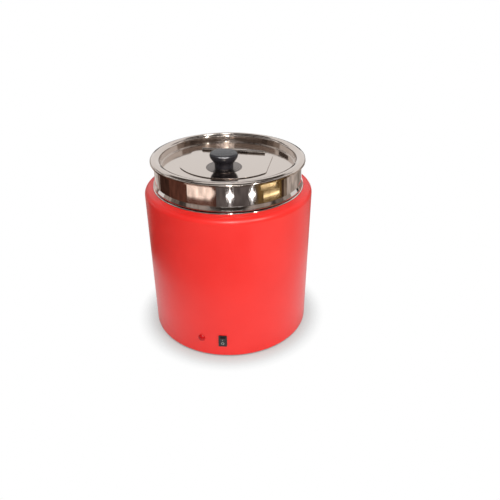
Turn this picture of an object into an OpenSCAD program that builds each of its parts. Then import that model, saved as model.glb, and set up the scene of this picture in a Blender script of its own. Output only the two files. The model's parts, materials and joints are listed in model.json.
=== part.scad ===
// Soup station: a red-cased wet-heat kettle with a lift-out pot and a dished lid with a serving flap.
// Millimetres, Z up. The origin is on the table, on the kettle's axis, and the front faces -Y.

/* [Shell] */
// Outside diameter of the red shell
body_d = 320; // [306:1:350]
// Height of the shell, from its lower edge to the edge of its top opening
shell_h = 296.5; // [280:0.5:330]
// Sheet thickness of the shell
shell_t = 1.2; // [0.8:0.1:2]
// Radius of the rounded shoulder
shoulder_r = 11; // [6:0.5:12]
// Rise of the shoulder towards the top opening
shoulder_rise = 3; // [1:0.5:5]
// Height of the folded hem at the lower edge
hem_h = 6; // [4:0.5:8]

/* [Base] */
// Height of the rubber feet, from the table to the base plate
foot_h = 12; // [9:0.5:16]
// How far the feet hold the shell off the table
foot_show = 3; // [2:0.5:5]
// Diameter of a foot at its top
foot_d = 28; // [20:1:34]
// Distance of the feet's middle from the outside of the shell
foot_in = 40; // [32:1:60]
// Thickness of the base plate
base_t = 1.2; // [1:0.1:2]
// Length of a vent slot in the base plate
vent_l = 34; // [20:1:40]
// Width of a vent slot
vent_w = 4; // [3:0.5:6]
// Height of the tabs that carry the base plate
tab_h = 20; // [14:1:30]

/* [Well] */
// Space from the outside of the shell to the inside of the water well
side_space = 26; // [24:0.5:32]
// Sheet thickness of the well
well_t = 1; // [0.8:0.1:1.5]
// Width of the well's rim ring
ring_w = 9.5; // [7:0.5:11]
// Outer radius of the ring's rounded inner corner
ring_corner_r = 3; // [2:0.5:4]
// Height of the space under the well, for the heater and the wiring
under_space = 64; // [58:0.5:80]
// Radius of the well's bottom corner
well_corner_r = 16; // [8:1:24]
// Thickness of the gasket under the ring
gasket_t = 0.8; // [0.5:0.1:2]
// Thickness of the insulation round the well
insulation_t = 12; // [6:1:16]

/* [Pot] */
// Sheet thickness of the pot
pot_t = 0.8; // [0.6:0.1:1.2]
// Space between the pot and the wall of the well
pot_gap = 6; // [5:0.5:9]
// How far the neck of the pot stands out over the well's inside
neck_over = 5; // [4:0.25:6]
// Height of the rolled rim's middle over the seat on the well's ring
neck_h = 47; // [30:0.5:60]
// How far the bead at the foot of the neck stands out
bead_over = 3.2; // [2:0.1:3.6]
// Height of the bead's upright face
bead_face = 2.4; // [2:0.1:4]
// Height of the bead, with the slope above its face
bead_rise = 8.7; // [6:0.1:12]
// Depth of the water space under the pot
water_space = 32; // [20:0.5:50]
// Radius of the pot's bottom corner
pot_corner_r = 20; // [10:1:40]
// Radius of the rolled rim
rim_roll_r = 2.9; // [2:0.1:4]

/* [Lid] */
// Sheet thickness of the lid
lid_t = 0.8; // [0.6:0.1:1.2]
// Depth of the lid's flat plate below the middle of the pot's rolled rim
lid_depth = 13; // [8:0.5:18]
// Length of the lid's skirt below the middle of its rolled edge
lid_skirt = 1.6; // [0.5:0.1:3]
// Width of the lid's rounded edge, over the rim and in to the dish
edge_w = 17.5; // [15:0.5:22]
// Slope of the edge's outer half, from level
lid_slope = 18; // [10:1:24]
// Distance of the edge's crest from the middle of the rim
crest_in = 5.1; // [4:0.1:7]
// Radius of the crest
crest_r = 10; // [6:0.5:12]
// Fall of the edge's inner half
edge_fall = 3.2; // [2:0.1:4]
// Radius of the fold from the edge to the dish's wall
brow_r = 4.5; // [2:0.5:5]
// Height of the narrow ledge round the plate
ledge_h = 1.8; // [1.6:0.1:3]
// Width of the narrow ledge
ledge_w = 2.4; // [2:0.1:4]
// Direction in which the lid is turned on the pot
lid_turn = -10; // [-180:1:180]

/* [Flap] */
// Space on the lid's plate beside the serving flap
flap_side = 43.5; // [40:0.5:60]
// Space on the lid's plate in front of the flap
flap_fore = 43; // [38:0.5:60]
// Space on the lid's plate behind the flap, for the hinge
flap_rear = 65.5; // [46:0.5:76]
// How far the middle of the flap's front edge stands forward of its corners
flap_bow = 43; // [20:1:60]
// Radius of the flap's front corners
flap_corner_r = 12; // [8:1:20]
// Cut across the flap's rear corners
flap_chamfer = 9; // [5:1:16]
// Thickness of the flap
flap_t = 1; // [0.8:0.1:1.5]
// Place of the flap's middle line across the lid
flap_x = -2.5; // [-10:0.5:10]
// How far the flap laps over the edge of its opening
flap_lap = 6; // [4:0.5:9]
// Distance of the hinge barrel's ends from the sides of the flap
barrel_in = 18; // [15:0.5:36]
// Radius of the hinge barrel
barrel_r = 3; // [2.5:0.1:4]
// Radius of the hinge pin
pin_r = 1.5; // [1:0.1:1.8]

/* [Knob] */
// Height of the knob
knob_h = 27.5; // [22:0.5:34]
// Place of the knob along the flap
knob_y = -24; // [-30:0.5:20]
// Diameter of the knob's top
knob_top_d = 52; // [44:0.5:60]
// Diameter of the knob's foot
knob_foot_d = 32.5; // [26:0.5:40]
// Radius of the knob's rounded top edge
knob_edge_r = 2; // [1.5:0.25:4]
// Diameter of the seat under the knob
seat_d = 67; // [50:1:76]
// Thickness of the seat
seat_t = 1; // [0.8:0.1:2]

/* [Controls] */
// Height of the switch's middle above the table
switch_z = 39; // [34:0.5:50]
// Direction of the switch, turned from the front
switch_turn = -3.8; // [-12:0.1:10]
// Width of the switch's bezel
bezel_w = 16; // [14:0.5:20]
// Height of the switch's bezel
bezel_h = 25; // [22:0.5:30]
// Thickness of the bezel
bezel_t = 2; // [1.5:0.1:3]
// Depth of the switch behind the shell
switch_depth = 20; // [16:0.5:26]
// Lean of the rocker to either side
rock_angle = 8; // [5:0.5:10]
// Height of the pilot lamp's middle above the table
lamp_z = 40; // [34:0.5:50]
// Direction of the pilot lamp, turned from the front
lamp_turn = -18.7; // [-30:0.1:-14]
// Diameter of the pilot lamp's lens
lens_d = 14; // [12:0.5:18]
// Diameter of the pilot lamp's neck
lamp_neck_d = 10; // [8:0.5:11]
// Height of the cord gland's middle above the table
gland_z = 40; // [34:0.5:50]
// Diameter of the gland's neck through the shell
gland_neck_d = 16; // [14:0.5:20]
// Diameter of the gland's bore
gland_bore_d = 8; // [6:0.5:9]
// How far the gland stands out of the shell
gland_out = 7; // [5:0.5:9]

/* [Heater] */
// Diameter of the heater plate
heater_d = 184; // [160:1:190]
// Thickness of the heater plate
heater_t = 8; // [6:0.5:10]
// Diameter of the heating tube
tube_d = 8.4; // [6.5:0.1:9]
// Space between the heating tube and the thermostats
tube_space = 4; // [2:0.5:20]
// Length of the clamp bar
clamp_l = 168; // [150:1:180]
// Width of the clamp bar
clamp_w = 24; // [16:1:30]
// Thickness of the clamp bar
clamp_t = 2.5; // [2:0.25:4]
// Diameter of the centre stud
stud_d = 8; // [6:0.5:10]
// Distance of the thermostats from the edge of the heater plate
stat_in = 4; // [3:0.5:10]
// Diameter of a thermostat
stat_d = 16; // [12:0.5:18]
// Height of a thermostat
stat_h = 12; // [9:0.5:16]

/* [Hidden] */
$fn = 96;
// Points on a rounded corner of an outline
corner_steps = 8;
// Points on a wide arc of an outline
arc_steps = 24;
// Extra length of every cut
overrun = 1;
// Space between pieces that lift off or swing and what they rest on
seat_gap = 0.3;
// Space round a pin that turns in its bore
run_gap = 0.05;
// Space round a fixed piece in its hole
hole_gap = 0.3;

// Shell and shoulder
shell_r = body_d / 2;
shell_ri = shell_r - shell_t;
shell_z = foot_show;
shell_top = shell_z + shell_h;
well_r = shell_r - side_space;
well_ro = well_r + well_t;
opening_gap = 1.2;
open_r = well_ro + opening_gap;
tilt = atan2(shoulder_rise, shell_r - shoulder_r - open_r);
function shoulder_z(r) = shell_top + (open_r - r) * tan(tilt);

// Base
base_z = foot_h;
base_top = base_z + base_t;
base_r = shell_r - 2 * shell_t - hole_gap;
tab_t = 1.5;
tab_reach = 18;
tab_span = 7;
quarter_turns = [45, 135, 225, 315];
base_screw_d = 4;
base_screw_l = 6;
screw_head_share = 1.9;
head_height_share = 0.6;
tab_screw_r = shell_ri - tab_reach / 2;
foot_place_r = shell_r - foot_in;
foot_screw_d = 5;
foot_taper_share = 0.84;
foot_recess_share = 0.5;
nut_af_share = 1.65;
nut_height_share = 0.8;
vent_count = 12;
vent_place_r = 70;

// Well and gasket
ring_r = well_r + ring_w;
gasket_inset = 1.5;
well_mid = well_r + well_t / 2;
ring_corner_mid = ring_corner_r - well_t / 2;
function ring_z(r) = shoulder_z(r) + (gasket_t + well_t / 2) / cos(tilt);
ring_corner_x = well_mid + ring_corner_mid;
ring_corner_z = ring_z(ring_corner_x + ring_corner_mid * sin(tilt)) - ring_corner_mid * cos(tilt);
ring_top = ring_corner_z + ring_corner_r;
well_under = base_top + under_space;
well_floor = well_under + well_t;
ring_edge_r = 0.6;
insulation_top_gap = 22;

// Pot, whose bead is seated on the top of the ring
neck_r = well_r + neck_over;
neck_mid = neck_r - pot_t / 2;
pot_r = well_r - pot_gap;
pot_mid = pot_r - pot_t / 2;
pot_fold_r = ring_corner_r;
pot_seat_z = ring_top + seat_gap + pot_t / 2;
bead_mid = neck_mid + bead_over;
bead_hollow_r = 3;
bead_edge_r = 1.2;
bead_foot_r = 1;
rim_z = pot_seat_z + neck_h;
rim_roll_mid = rim_roll_r - pot_t / 2;
rim_x = neck_mid + rim_roll_mid;
rim_roll_end = -70;
pot_floor = well_floor + water_space + pot_t / 2;

// Lid, capping the rolled rim
lid_roll_mid = rim_roll_r + seat_gap + lid_t / 2;
lid_plate_z = rim_z - lid_depth;
lid_plate_top = lid_plate_z + lid_t / 2;
edge_start = [rim_x + lid_roll_mid * sin(lid_slope), rim_z + lid_roll_mid * cos(lid_slope)];
crest_x = rim_x - crest_in;
crest = [crest_x, edge_start[1] + (edge_start[0] - crest_x) * tan(lid_slope)];
brow = [rim_x + lid_roll_mid - edge_w, crest[1] - edge_fall];
wall_lean_share = 0.04;
wall_foot = [brow[0] - (brow[1] - lid_plate_z - ledge_h) * wall_lean_share, lid_plate_z + ledge_h];
ledge_fall_share = 0.2;
ledge_end = wall_foot - [ledge_w, ledge_w * ledge_fall_share];
plate_r = ledge_end[0] - (ledge_end[1] - lid_plate_z) * wall_lean_share;
lid_fold_r = 1.2;

// Flap and hinge, in the space that the lid's plate gives
flap_half = plate_r - flap_side;
flap_front = plate_r - flap_fore;
flap_back = plate_r - flap_rear;
flap_front_r = (flap_half * flap_half + flap_bow * flap_bow) / (2 * flap_bow);
barrel_l = 2 * (flap_half - barrel_in);
flap_z = lid_plate_top + 2 * seat_gap;
flap_top = flap_z + flap_t;
hinge_y = flap_back + barrel_r + 3 * seat_gap;
hinge_z = lid_plate_top + barrel_r + seat_gap;
mid_knuckle_share = 0.44;
mid_knuckle_l = barrel_l * mid_knuckle_share;
knuckle_gap = 0.5;
leaf_t = 0.8;
leaf_w = 9;
pin_head_t = 1;
pin_head_share = 0.5;
pin_head_r = pin_r + pin_head_share * (barrel_r - pin_r);

// Knob
knob_z = flap_top + seat_t;
knob_screw_d = 5;
knob_screw_share = 0.45;
knob_stem_share = 0.05;
seat_edge_share = 0.6;

// Switch: the rocker turns about a pin across the housing
body_w_share = 0.79;
body_h_share = 0.86;
pocket_w_share = 0.66;
pocket_h_share = 0.78;
bezel_corner_r = 1.5;
pivot_in = 1.2;
pivot_y = -bezel_t + pivot_in;
rocker_w = bezel_w * pocket_w_share - 2 * seat_gap;
rocker_sweep_r = bezel_h * pocket_h_share / 2 - seat_gap;
rocker_rise = 2;
rocker_skirt = 2.5;
rocker_pin_r = 1.2;
cheek_t = bezel_w * (body_w_share - pocket_w_share) / 2;
pocket_depth_share = 0.45;
tab_blade_t = 0.8;
tab_blade_l = 8;
tab_blade_w = 4.8;
tab_blade_share = 0.28;

// Pilot lamp and gland
lens_dome_share = 0.25;
lens_rim_t = 1.2;
lamp_l = 26;
lamp_nut_t = 4;
gland_flange_share = 1.4;
gland_collar_d = gland_neck_d * gland_flange_share;
gland_collar_share = 0.45;
gland_thread_l = 14;
gland_nut_t = 5;
gland_af_share = 1.38;

// Heater
heater_z = well_under - heater_t;
stat_place_r = heater_d / 2 - stat_in - stat_d / 2;
tube_ring_r = stat_place_r - stat_d / 2 - tube_space - tube_d / 2;
tube_gap_angle = 30;
tube_pin_d = 5;
tube_pin_l = 16;
clamp_z = heater_z - tube_d / 2 - clamp_t;
stud_nut_h = stud_d * nut_height_share;
stud_tail = 1.5;
stud_end = base_z - stud_nut_h - stud_tail;
stat_turns = [25, 205];
stat_ear_l = 40;
stat_ear_w = 10;
stat_ear_t = 1;
stat_hole_share = 0.72;
stat_stud_d = 3;
stat_stud_l = 6;
stat_blade_w = 5;
stat_blade_t = 0.8;
stat_blade_l = 8;
stat_blade_share = 0.25;

// Terminal block and earth
block = [48, 22, 20];
block_y = 86;
block_poles = 3;
block_screw_d = 5;
block_screw_l = 8;
earth_turn = 62;
earth_place_r = 108;
earth_d = 5;
earth_l = 16;

// Leads
lead_d = 2.6;
lead_gap = 3;
lead_bend_share = 1.2;

function unit(v) = v / norm(v);
function square_to(v) = [v[1], -v[0]];

// Points of an arc about c, from one direction to another
function arc(c, r, from, to, steps = corner_steps) =
    [for (i = [0:steps]) let (a = from + (to - from) * i / steps) c + r * [cos(a), sin(a)]];

// Points that round the corner at b, between a and c
function corner(a, b, c, r) =
    let (
        u = unit(a - b),
        v = unit(c - b),
        half = acos(u * v) / 2,
        o = b + unit(u + v) * r / sin(half),
        p = b + u * r / tan(half) - o,
        q = b + v * r / tan(half) - o,
        start = atan2(p[1], p[0]),
        sweep = (atan2(q[1], q[0]) - start + 540) % 360 - 180
    )
    arc(o, r, start, start + sweep);

// An open line of points [x, z, corner radius], with its corners rounded
function line(points) =
    let (last = len(points) - 1, flat = [for (p = points) [p[0], p[1]]])
    [for (i = [0:last])
        each (i == 0 || i == last || points[i][2] == 0
            ? [flat[i]]
            : corner(flat[i - 1], flat[i], flat[i + 1], points[i][2]))];

function after_first(points) = [for (i = [1:len(points) - 1]) points[i]];

// The same line, moved sideways by d
function beside(points, d) =
    let (last = len(points) - 1)
    [for (i = [0:last])
        let (
            n1 = square_to(unit(points[max(i, 1)] - points[max(i, 1) - 1])),
            n2 = square_to(unit(points[min(i, last - 1) + 1] - points[min(i, last - 1)]))
        )
        points[i] + d * (n1 + n2) / (1 + n1 * n2)];

// Outline of a sheet of thickness t whose middle follows a line
function sheet(points, t) =
    let (back = beside(points, -t / 2))
    concat(beside(points, t / 2), [for (i = [len(back) - 1:-1:0]) back[i]]);

function rounded_box(w, h, r) =
    [for (i = [0:3])
        each arc([(i == 0 || i == 3 ? 1 : -1) * (w / 2 - r), (i < 2 ? 1 : -1) * (h / 2 - r)],
            r, 90 * i, 90 * (i + 1))];

module spun(points) {
    rotate_extrude() polygon(points);
}

// A hexagonal nut with its lower face at the origin
module nut(d, share = nut_af_share) {
    difference() {
        cylinder(h = d * nut_height_share, d = d * share / cos(30), $fn = 6);
        translate([0, 0, -overrun]) cylinder(h = d * nut_height_share + 2 * overrun, d = d);
    }
}

// A pan-head screw that points up, with the top of its head at the origin
module screw(d, l) {
    cylinder(h = l, d = d);
    translate([0, 0, -d * head_height_share]) cylinder(h = d * head_height_share, d = d * screw_head_share);
}

module at_front(turn, z) {
    rotate([0, 0, turn]) translate([0, -shell_r, z]) children();
}

module at_quarters(r, z) {
    for (a = quarter_turns) rotate([0, 0, a]) translate([r, 0, z]) children();
}

// A straight rod of diameter d from p to q
module rod(p, q, d) {
    v = q - p;
    translate(p)
        rotate([0, acos(v[2] / norm(v)), atan2(v[1], v[0])])
            cylinder(h = norm(v), d = d);
}

module lead(points) {
    for (i = [1:len(points) - 1]) rod(points[i - 1], points[i], lead_d);
    for (i = [1:len(points) - 2]) translate(points[i]) sphere(d = lead_d * lead_bend_share);
}

// Root body: shell and base

module outer_shell() {
    top = [open_r, shoulder_z(open_r) - shell_t / 2 / cos(tilt), 0];
    wall_mid = shell_r - shell_t / 2;
    knee = [wall_mid, shoulder_z(wall_mid) - shell_t / 2 / cos(tilt), shoulder_r - shell_t / 2];
    color("#e8382f") difference() {
        rotate_extrude() {
            polygon(sheet(line([[wall_mid, shell_z, 0], knee, top]), shell_t));
            translate([shell_r - 2 * shell_t, shell_z]) square([shell_t * 3 / 2, hem_h]);
        }
        at_front(switch_turn, switch_z)
            translate([-switch_hole[0] / 2, -overrun, -switch_hole[1] / 2])
                cube([switch_hole[0], 2 * shell_t + 2 * overrun, switch_hole[1]]);
        at_front(lamp_turn, lamp_z)
            translate([0, -overrun, 0]) rotate([-90, 0, 0])
                cylinder(h = 2 * shell_t + 2 * overrun, d = lamp_neck_d + 2 * hole_gap);
        at_front(180, gland_z)
            translate([0, -overrun, 0]) rotate([-90, 0, 0])
                cylinder(h = 2 * shell_t + 2 * overrun, d = gland_neck_d + 2 * hole_gap);
    }
}

module base_plate() {
    color("#9aa0a3") difference() {
        translate([0, 0, base_z]) cylinder(h = base_t, r = base_r);
        translate([0, 0, base_z - overrun]) {
            cylinder(h = base_t + 2 * overrun, d = stud_d + 2 * hole_gap);
            for (i = [0:vent_count - 1])
                rotate([0, 0, 360 * (i + 0.5) / vent_count])
                    translate([vent_place_r - vent_l / 2, -vent_w / 2, 0])
                        cube([vent_l, vent_w, base_t + 2 * overrun]);
            rotate([0, 0, earth_turn]) translate([earth_place_r, 0, 0])
                cylinder(h = base_t + 2 * overrun, d = earth_d + 2 * hole_gap);
        }
        at_quarters(foot_place_r, base_z - overrun)
            cylinder(h = base_t + 2 * overrun, d = foot_screw_d + 2 * hole_gap);
        at_quarters(tab_screw_r, base_z - overrun)
            cylinder(h = base_t + 2 * overrun, d = base_screw_d + 2 * hole_gap);
    }
}

module base_tabs() {
    color("#b4b8ba") difference() {
        for (a = quarter_turns)
            rotate([0, 0, a - tab_span / 2])
                rotate_extrude(angle = tab_span) {
                    translate([shell_ri - tab_reach, base_top]) square([tab_reach, tab_t]);
                    translate([shell_ri - tab_t, base_top]) square([tab_t, tab_h]);
                }
        at_quarters(tab_screw_r, base_top - overrun)
            cylinder(h = tab_t + 2 * overrun, d = base_screw_d);
    }
}

module base_screws() {
    color("#c9ccce") at_quarters(tab_screw_r, base_z) screw(base_screw_d, base_screw_l);
}

module rubber_feet() {
    head_h = foot_screw_d * head_height_share;
    recess_d = foot_screw_d * screw_head_share + 2 * hole_gap;
    color("#26272a") at_quarters(foot_place_r, 0) difference() {
        cylinder(h = foot_h, d1 = foot_d * foot_taper_share, d2 = foot_d);
        translate([0, 0, -overrun]) cylinder(h = foot_h + 2 * overrun, d = foot_screw_d + 2 * hole_gap);
        translate([0, 0, -overrun]) cylinder(h = foot_h * foot_recess_share + overrun, d = recess_d);
    }
}

module foot_screws() {
    seat = foot_h * foot_recess_share;
    reach = foot_h - seat + base_t + foot_screw_d;
    color("#c9ccce") at_quarters(foot_place_r, seat) screw(foot_screw_d, reach);
}

module foot_nuts() {
    color("#c9ccce") at_quarters(foot_place_r, base_top) nut(foot_screw_d);
}

// Root body: well, insulation and heater

module well_pan() {
    edge = ring_r - well_t / 2;
    path = line([
        [edge, shoulder_z(ring_r - well_t), 0],
        [edge, ring_z(edge), ring_edge_r],
        [well_mid, ring_z(well_mid), ring_corner_mid],
        [well_mid, well_floor - well_t / 2, well_corner_r],
        [0, well_floor - well_t / 2, 0]
    ]);
    color("#c4c3c0") spun(sheet(path, well_t));
}

module well_gasket() {
    outer = ring_r - gasket_inset;
    rise = [0, gasket_t / cos(tilt)];
    inner = ring_corner_x + ring_corner_mid * sin(tilt);
    low_in = [inner, shoulder_z(inner)];
    low_out = [outer, shoulder_z(outer)];
    color("#8c8f91") spun([low_in, low_out, low_out + rise, low_in + rise]);
}

module insulation_wrap() {
    low = well_floor + well_corner_r;
    high = ring_top - insulation_top_gap;
    color("#e3dfcf") rotate_extrude()
        translate([well_ro + hole_gap, low]) square([insulation_t, high - low]);
}

module heater_plate() {
    color("#a9adb0") difference() {
        translate([0, 0, heater_z]) cylinder(h = heater_t, d = heater_d);
        translate([0, 0, heater_z - overrun])
            cylinder(h = heater_t + 2 * overrun, d = stud_d + 2 * hole_gap);
        translate([0, 0, heater_z]) rotate_extrude()
            translate([tube_ring_r, 0]) circle(d = tube_d + 2 * run_gap);
    }
}

// The tube is a ring that stops short in front, with a terminal pin down from each end
module heater_tube() {
    color("#6d6a66") translate([0, 0, heater_z]) {
        rotate([0, 0, tube_gap_angle / 2 - 90]) rotate_extrude(angle = 360 - tube_gap_angle)
            translate([tube_ring_r, 0]) circle(d = tube_d);
        for (side = [-1, 1])
            rotate([0, 0, side * tube_gap_angle / 2 - 90]) translate([tube_ring_r, 0, 0]) {
                sphere(d = tube_d);
                translate([0, 0, -tube_pin_l]) cylinder(h = tube_pin_l, d = tube_pin_d);
            }
    }
}

module heater_clamp() {
    color("#b4b8ba") difference() {
        translate([-clamp_l / 2, -clamp_w / 2, clamp_z]) cube([clamp_l, clamp_w, clamp_t]);
        translate([0, 0, clamp_z - overrun]) cylinder(h = clamp_t + 2 * overrun, d = stud_d + 2 * hole_gap);
    }
}

module centre_stud() {
    color("#c9ccce") translate([0, 0, stud_end]) cylinder(h = well_under - stud_end, d = stud_d);
}

module stud_nuts() {
    color("#c9ccce") for (z = [clamp_z - stud_nut_h, base_z - stud_nut_h])
        translate([0, 0, z]) nut(stud_d);
}

module stat(turn) {
    hole_x = stat_ear_l * stat_hole_share / 2;
    rotate([0, 0, turn]) translate([stat_place_r, 0, heater_z]) rotate([0, 0, 90]) {
        difference() {
            translate([-stat_ear_l / 2, -stat_ear_w / 2, -stat_ear_t])
                cube([stat_ear_l, stat_ear_w, stat_ear_t]);
            for (side = [-1, 1])
                translate([side * hole_x, 0, -stat_ear_t - overrun])
                    cylinder(h = stat_ear_t + 2 * overrun, d = stat_stud_d + 2 * hole_gap);
        }
        translate([0, 0, -stat_h]) cylinder(h = stat_h - stat_ear_t, d = stat_d);
        for (side = [-1, 1])
            translate([side * stat_d * stat_blade_share - stat_blade_w / 2, -stat_blade_t / 2,
                -stat_h - stat_blade_l])
                cube([stat_blade_w, stat_blade_t, stat_blade_l]);
    }
}

module thermostat() {
    color("#d8d3c4") stat(stat_turns[0]);
}

module thermal_cutout() {
    color("#3c3b3a") stat(stat_turns[1]);
}

module stat_fixings() {
    hole_x = stat_ear_l * stat_hole_share / 2;
    nut_h = stat_stud_d * nut_height_share;
    color("#c9ccce") for (turn = stat_turns, side = [-1, 1])
        rotate([0, 0, turn]) translate([stat_place_r, side * hole_x, heater_z]) {
            translate([0, 0, -stat_stud_l]) cylinder(h = stat_stud_l, d = stat_stud_d);
            translate([0, 0, -stat_ear_t - nut_h]) nut(stat_stud_d);
        }
}

// Root body: wiring

function pole_x(i) = block[0] * ((i + 0.5) / block_poles - 0.5);

module at_poles() {
    for (i = [0:block_poles - 1], side = [-1, 1])
        translate([pole_x(i), block_y + side * block[1] / 4, base_top + block[2] - block_screw_l]) children();
}

module terminal_block() {
    color("#e9e4d6") difference() {
        translate([-block[0] / 2, block_y - block[1] / 2, base_top]) cube(block);
        at_poles() cylinder(h = block_screw_l + overrun, d = block_screw_d);
    }
}

module terminal_screws() {
    color("#b99b4c") at_poles() cylinder(h = block_screw_l - overrun, d = block_screw_d);
}

module earth_screw() {
    color("#b99b4c") rotate([0, 0, earth_turn]) translate([earth_place_r, 0, base_z])
        screw(earth_d, earth_l);
}

module earth_nut() {
    color("#b99b4c") rotate([0, 0, earth_turn]) translate([earth_place_r, 0, base_top]) nut(earth_d);
}

// Root body: pilot lamp, switch and gland

lens_r = lens_d / 2;
lens_dome_h = lens_d * lens_dome_share;
lens_ball_r = (lens_r * lens_r + lens_dome_h * lens_dome_h) / (2 * lens_dome_h);

module lamp_lens() {
    color("#c8161d") at_front(lamp_turn, lamp_z) rotate([90, 0, 0]) {
        cylinder(h = lens_rim_t, d = lens_d);
        translate([0, 0, lens_rim_t]) intersection() {
            translate([0, 0, lens_dome_h - lens_ball_r]) sphere(r = lens_ball_r);
            cylinder(h = lens_dome_h, d = lens_d);
        }
    }
}

module lamp_holder() {
    color("#2b2b2d") at_front(lamp_turn, lamp_z) rotate([-90, 0, 0]) cylinder(h = lamp_l, d = lamp_neck_d);
}

// Depth behind the outside of the shell at which a flat ring of radius r meets its inner wall
function inner_seat(r) = shell_r - sqrt(shell_ri * shell_ri - r * r);

module ring_nut(d, h, af) {
    difference() {
        cylinder(h = h, d = af / cos(30), $fn = 6);
        translate([0, 0, -overrun]) cylinder(h = h + 2 * overrun, d = d);
    }
}

module lamp_nut() {
    af = lamp_neck_d * gland_af_share;
    color("#c9ccce") at_front(lamp_turn, lamp_z)
        translate([0, inner_seat(af / 2 / cos(30)), 0]) rotate([-90, 0, 0])
            ring_nut(lamp_neck_d, lamp_nut_t, af);
}

switch_body = [bezel_w * body_w_share, bezel_h * body_h_share];
switch_hole = switch_body + 2 * hole_gap * [1, 1];
switch_pocket = [bezel_w * pocket_w_share, bezel_h * pocket_h_share];
pocket_depth = switch_depth * pocket_depth_share;

module switch_housing() {
    color("#1d1d1f") at_front(switch_turn, switch_z) difference() {
        union() {
            rotate([90, 0, 0]) linear_extrude(bezel_t)
                polygon(rounded_box(bezel_w, bezel_h, bezel_corner_r));
            translate([-switch_body[0] / 2, 0, -switch_body[1] / 2])
                cube([switch_body[0], switch_depth, switch_body[1]]);
        }
        translate([-switch_pocket[0] / 2, -bezel_t - overrun, -switch_pocket[1] / 2])
            cube([switch_pocket[0], bezel_t + overrun + pocket_depth, switch_pocket[1]]);
        translate([-switch_body[0] / 2 - overrun, pivot_y, 0]) rotate([0, 90, 0])
            cylinder(h = switch_body[0] + 2 * overrun, r = rocker_pin_r + run_gap);
    }
}

module switch_tabs() {
    color("#b99b4c") at_front(switch_turn, switch_z) for (side = [-1, 1])
        translate([-tab_blade_t / 2, switch_depth, side * bezel_h * tab_blade_share - tab_blade_w / 2])
            cube([tab_blade_t, tab_blade_l, tab_blade_w]);
}

// Side view of the rocker when level, in millimetres outward and upward from its pin
function rocker_outline() =
    let (end = rocker_sweep_r, rise = rocker_sweep_r * tan(rock_angle))
    [[rocker_rise, 0], [rocker_rise + rise, end], [-rocker_skirt, end], [-rocker_skirt, -end],
        [rocker_rise + rise, -end]];

module switch_rocker() {
    pin_l = rocker_w + cheek_t;
    color("#161617") at_front(switch_turn, switch_z) translate([0, pivot_y, 0]) rotate([rock_angle, 0, 0]) {
        rotate([90, 0, -90]) translate([0, 0, -rocker_w / 2]) linear_extrude(rocker_w) intersection() {
            polygon(rocker_outline());
            circle(r = rocker_sweep_r);
        }
        translate([-pin_l / 2, 0, 0]) rotate([0, 90, 0]) cylinder(h = pin_l, r = rocker_pin_r);
    }
}

module cord_gland() {
    collar_h = gland_out * gland_collar_share;
    color("#232325") at_front(180, gland_z) rotate([90, 0, 0]) difference() {
        union() {
            translate([0, 0, -gland_thread_l]) cylinder(h = gland_thread_l, d = gland_neck_d);
            cylinder(h = collar_h, d = gland_collar_d);
            translate([0, 0, collar_h])
                cylinder(h = gland_out - collar_h, d1 = gland_collar_d, d2 = gland_neck_d);
        }
        translate([0, 0, -gland_thread_l - overrun])
            cylinder(h = gland_thread_l + gland_out + 2 * overrun, d = gland_bore_d);
    }
}

module gland_locknut() {
    af = gland_neck_d * gland_af_share;
    color("#2e2e31") at_front(180, gland_z)
        translate([0, inner_seat(af / 2 / cos(30)), 0]) rotate([-90, 0, 0])
            ring_nut(gland_neck_d, gland_nut_t, af);
}

// Each lead runs from a terminal to a blade or pin, low over the base plate
module wiring_leads() {
    floor_z = base_top + lead_gap;
    block_front = block_y - block[1] / 2 - hole_gap;
    tube_end = tube_ring_r * [sin(tube_gap_angle / 2), -cos(tube_gap_angle / 2)];
    pin_z = heater_z - tube_pin_l - hole_gap;
    blade_in = shell_r - switch_depth - tab_blade_l - hole_gap;
    blade = blade_in * [sin(switch_turn), -cos(switch_turn)];
    blade_z = bezel_h * tab_blade_share;
    color("#b8402f") {
        lead([
            [pole_x(0), block_front, floor_z],
            [pole_x(0), blade[1] + block[1], floor_z],
            [blade[0], blade[1] + block[1], switch_z - blade_z],
            [blade[0], blade[1], switch_z - blade_z]
        ]);
        lead([
            [blade[0], blade[1], switch_z + blade_z],
            [-tube_end[0], tube_end[1], pin_z - lead_gap],
            [-tube_end[0], tube_end[1], pin_z]
        ]);
        lead([
            [tube_end[0], tube_end[1], pin_z],
            [tube_end[0], tube_end[1], floor_z + lead_gap],
            [pole_x(2), block_front, floor_z + lead_gap]
        ]);
    }
}

// Pot body

module inner_pot() {
    path = concat(
        arc([rim_x, rim_z], rim_roll_mid, rim_roll_end, 180, arc_steps),
        after_first(line([
            [neck_mid, rim_z, 0],
            [neck_mid, pot_seat_z + bead_rise, bead_hollow_r],
            [bead_mid, pot_seat_z + bead_face, bead_edge_r],
            [bead_mid, pot_seat_z, bead_foot_r],
            [pot_mid, pot_seat_z, pot_fold_r],
            [pot_mid, pot_floor, pot_corner_r],
            [0, pot_floor, 0]
        ]))
    );
    color("#cfccc8") spun(sheet(path, pot_t));
}

// Lid body

module on_lid() {
    rotate([0, 0, lid_turn]) children();
}

module on_flap() {
    on_lid() translate([flap_x, 0, 0]) children();
}

module at_knob(z) {
    on_flap() translate([0, knob_y, z]) children();
}

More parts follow.
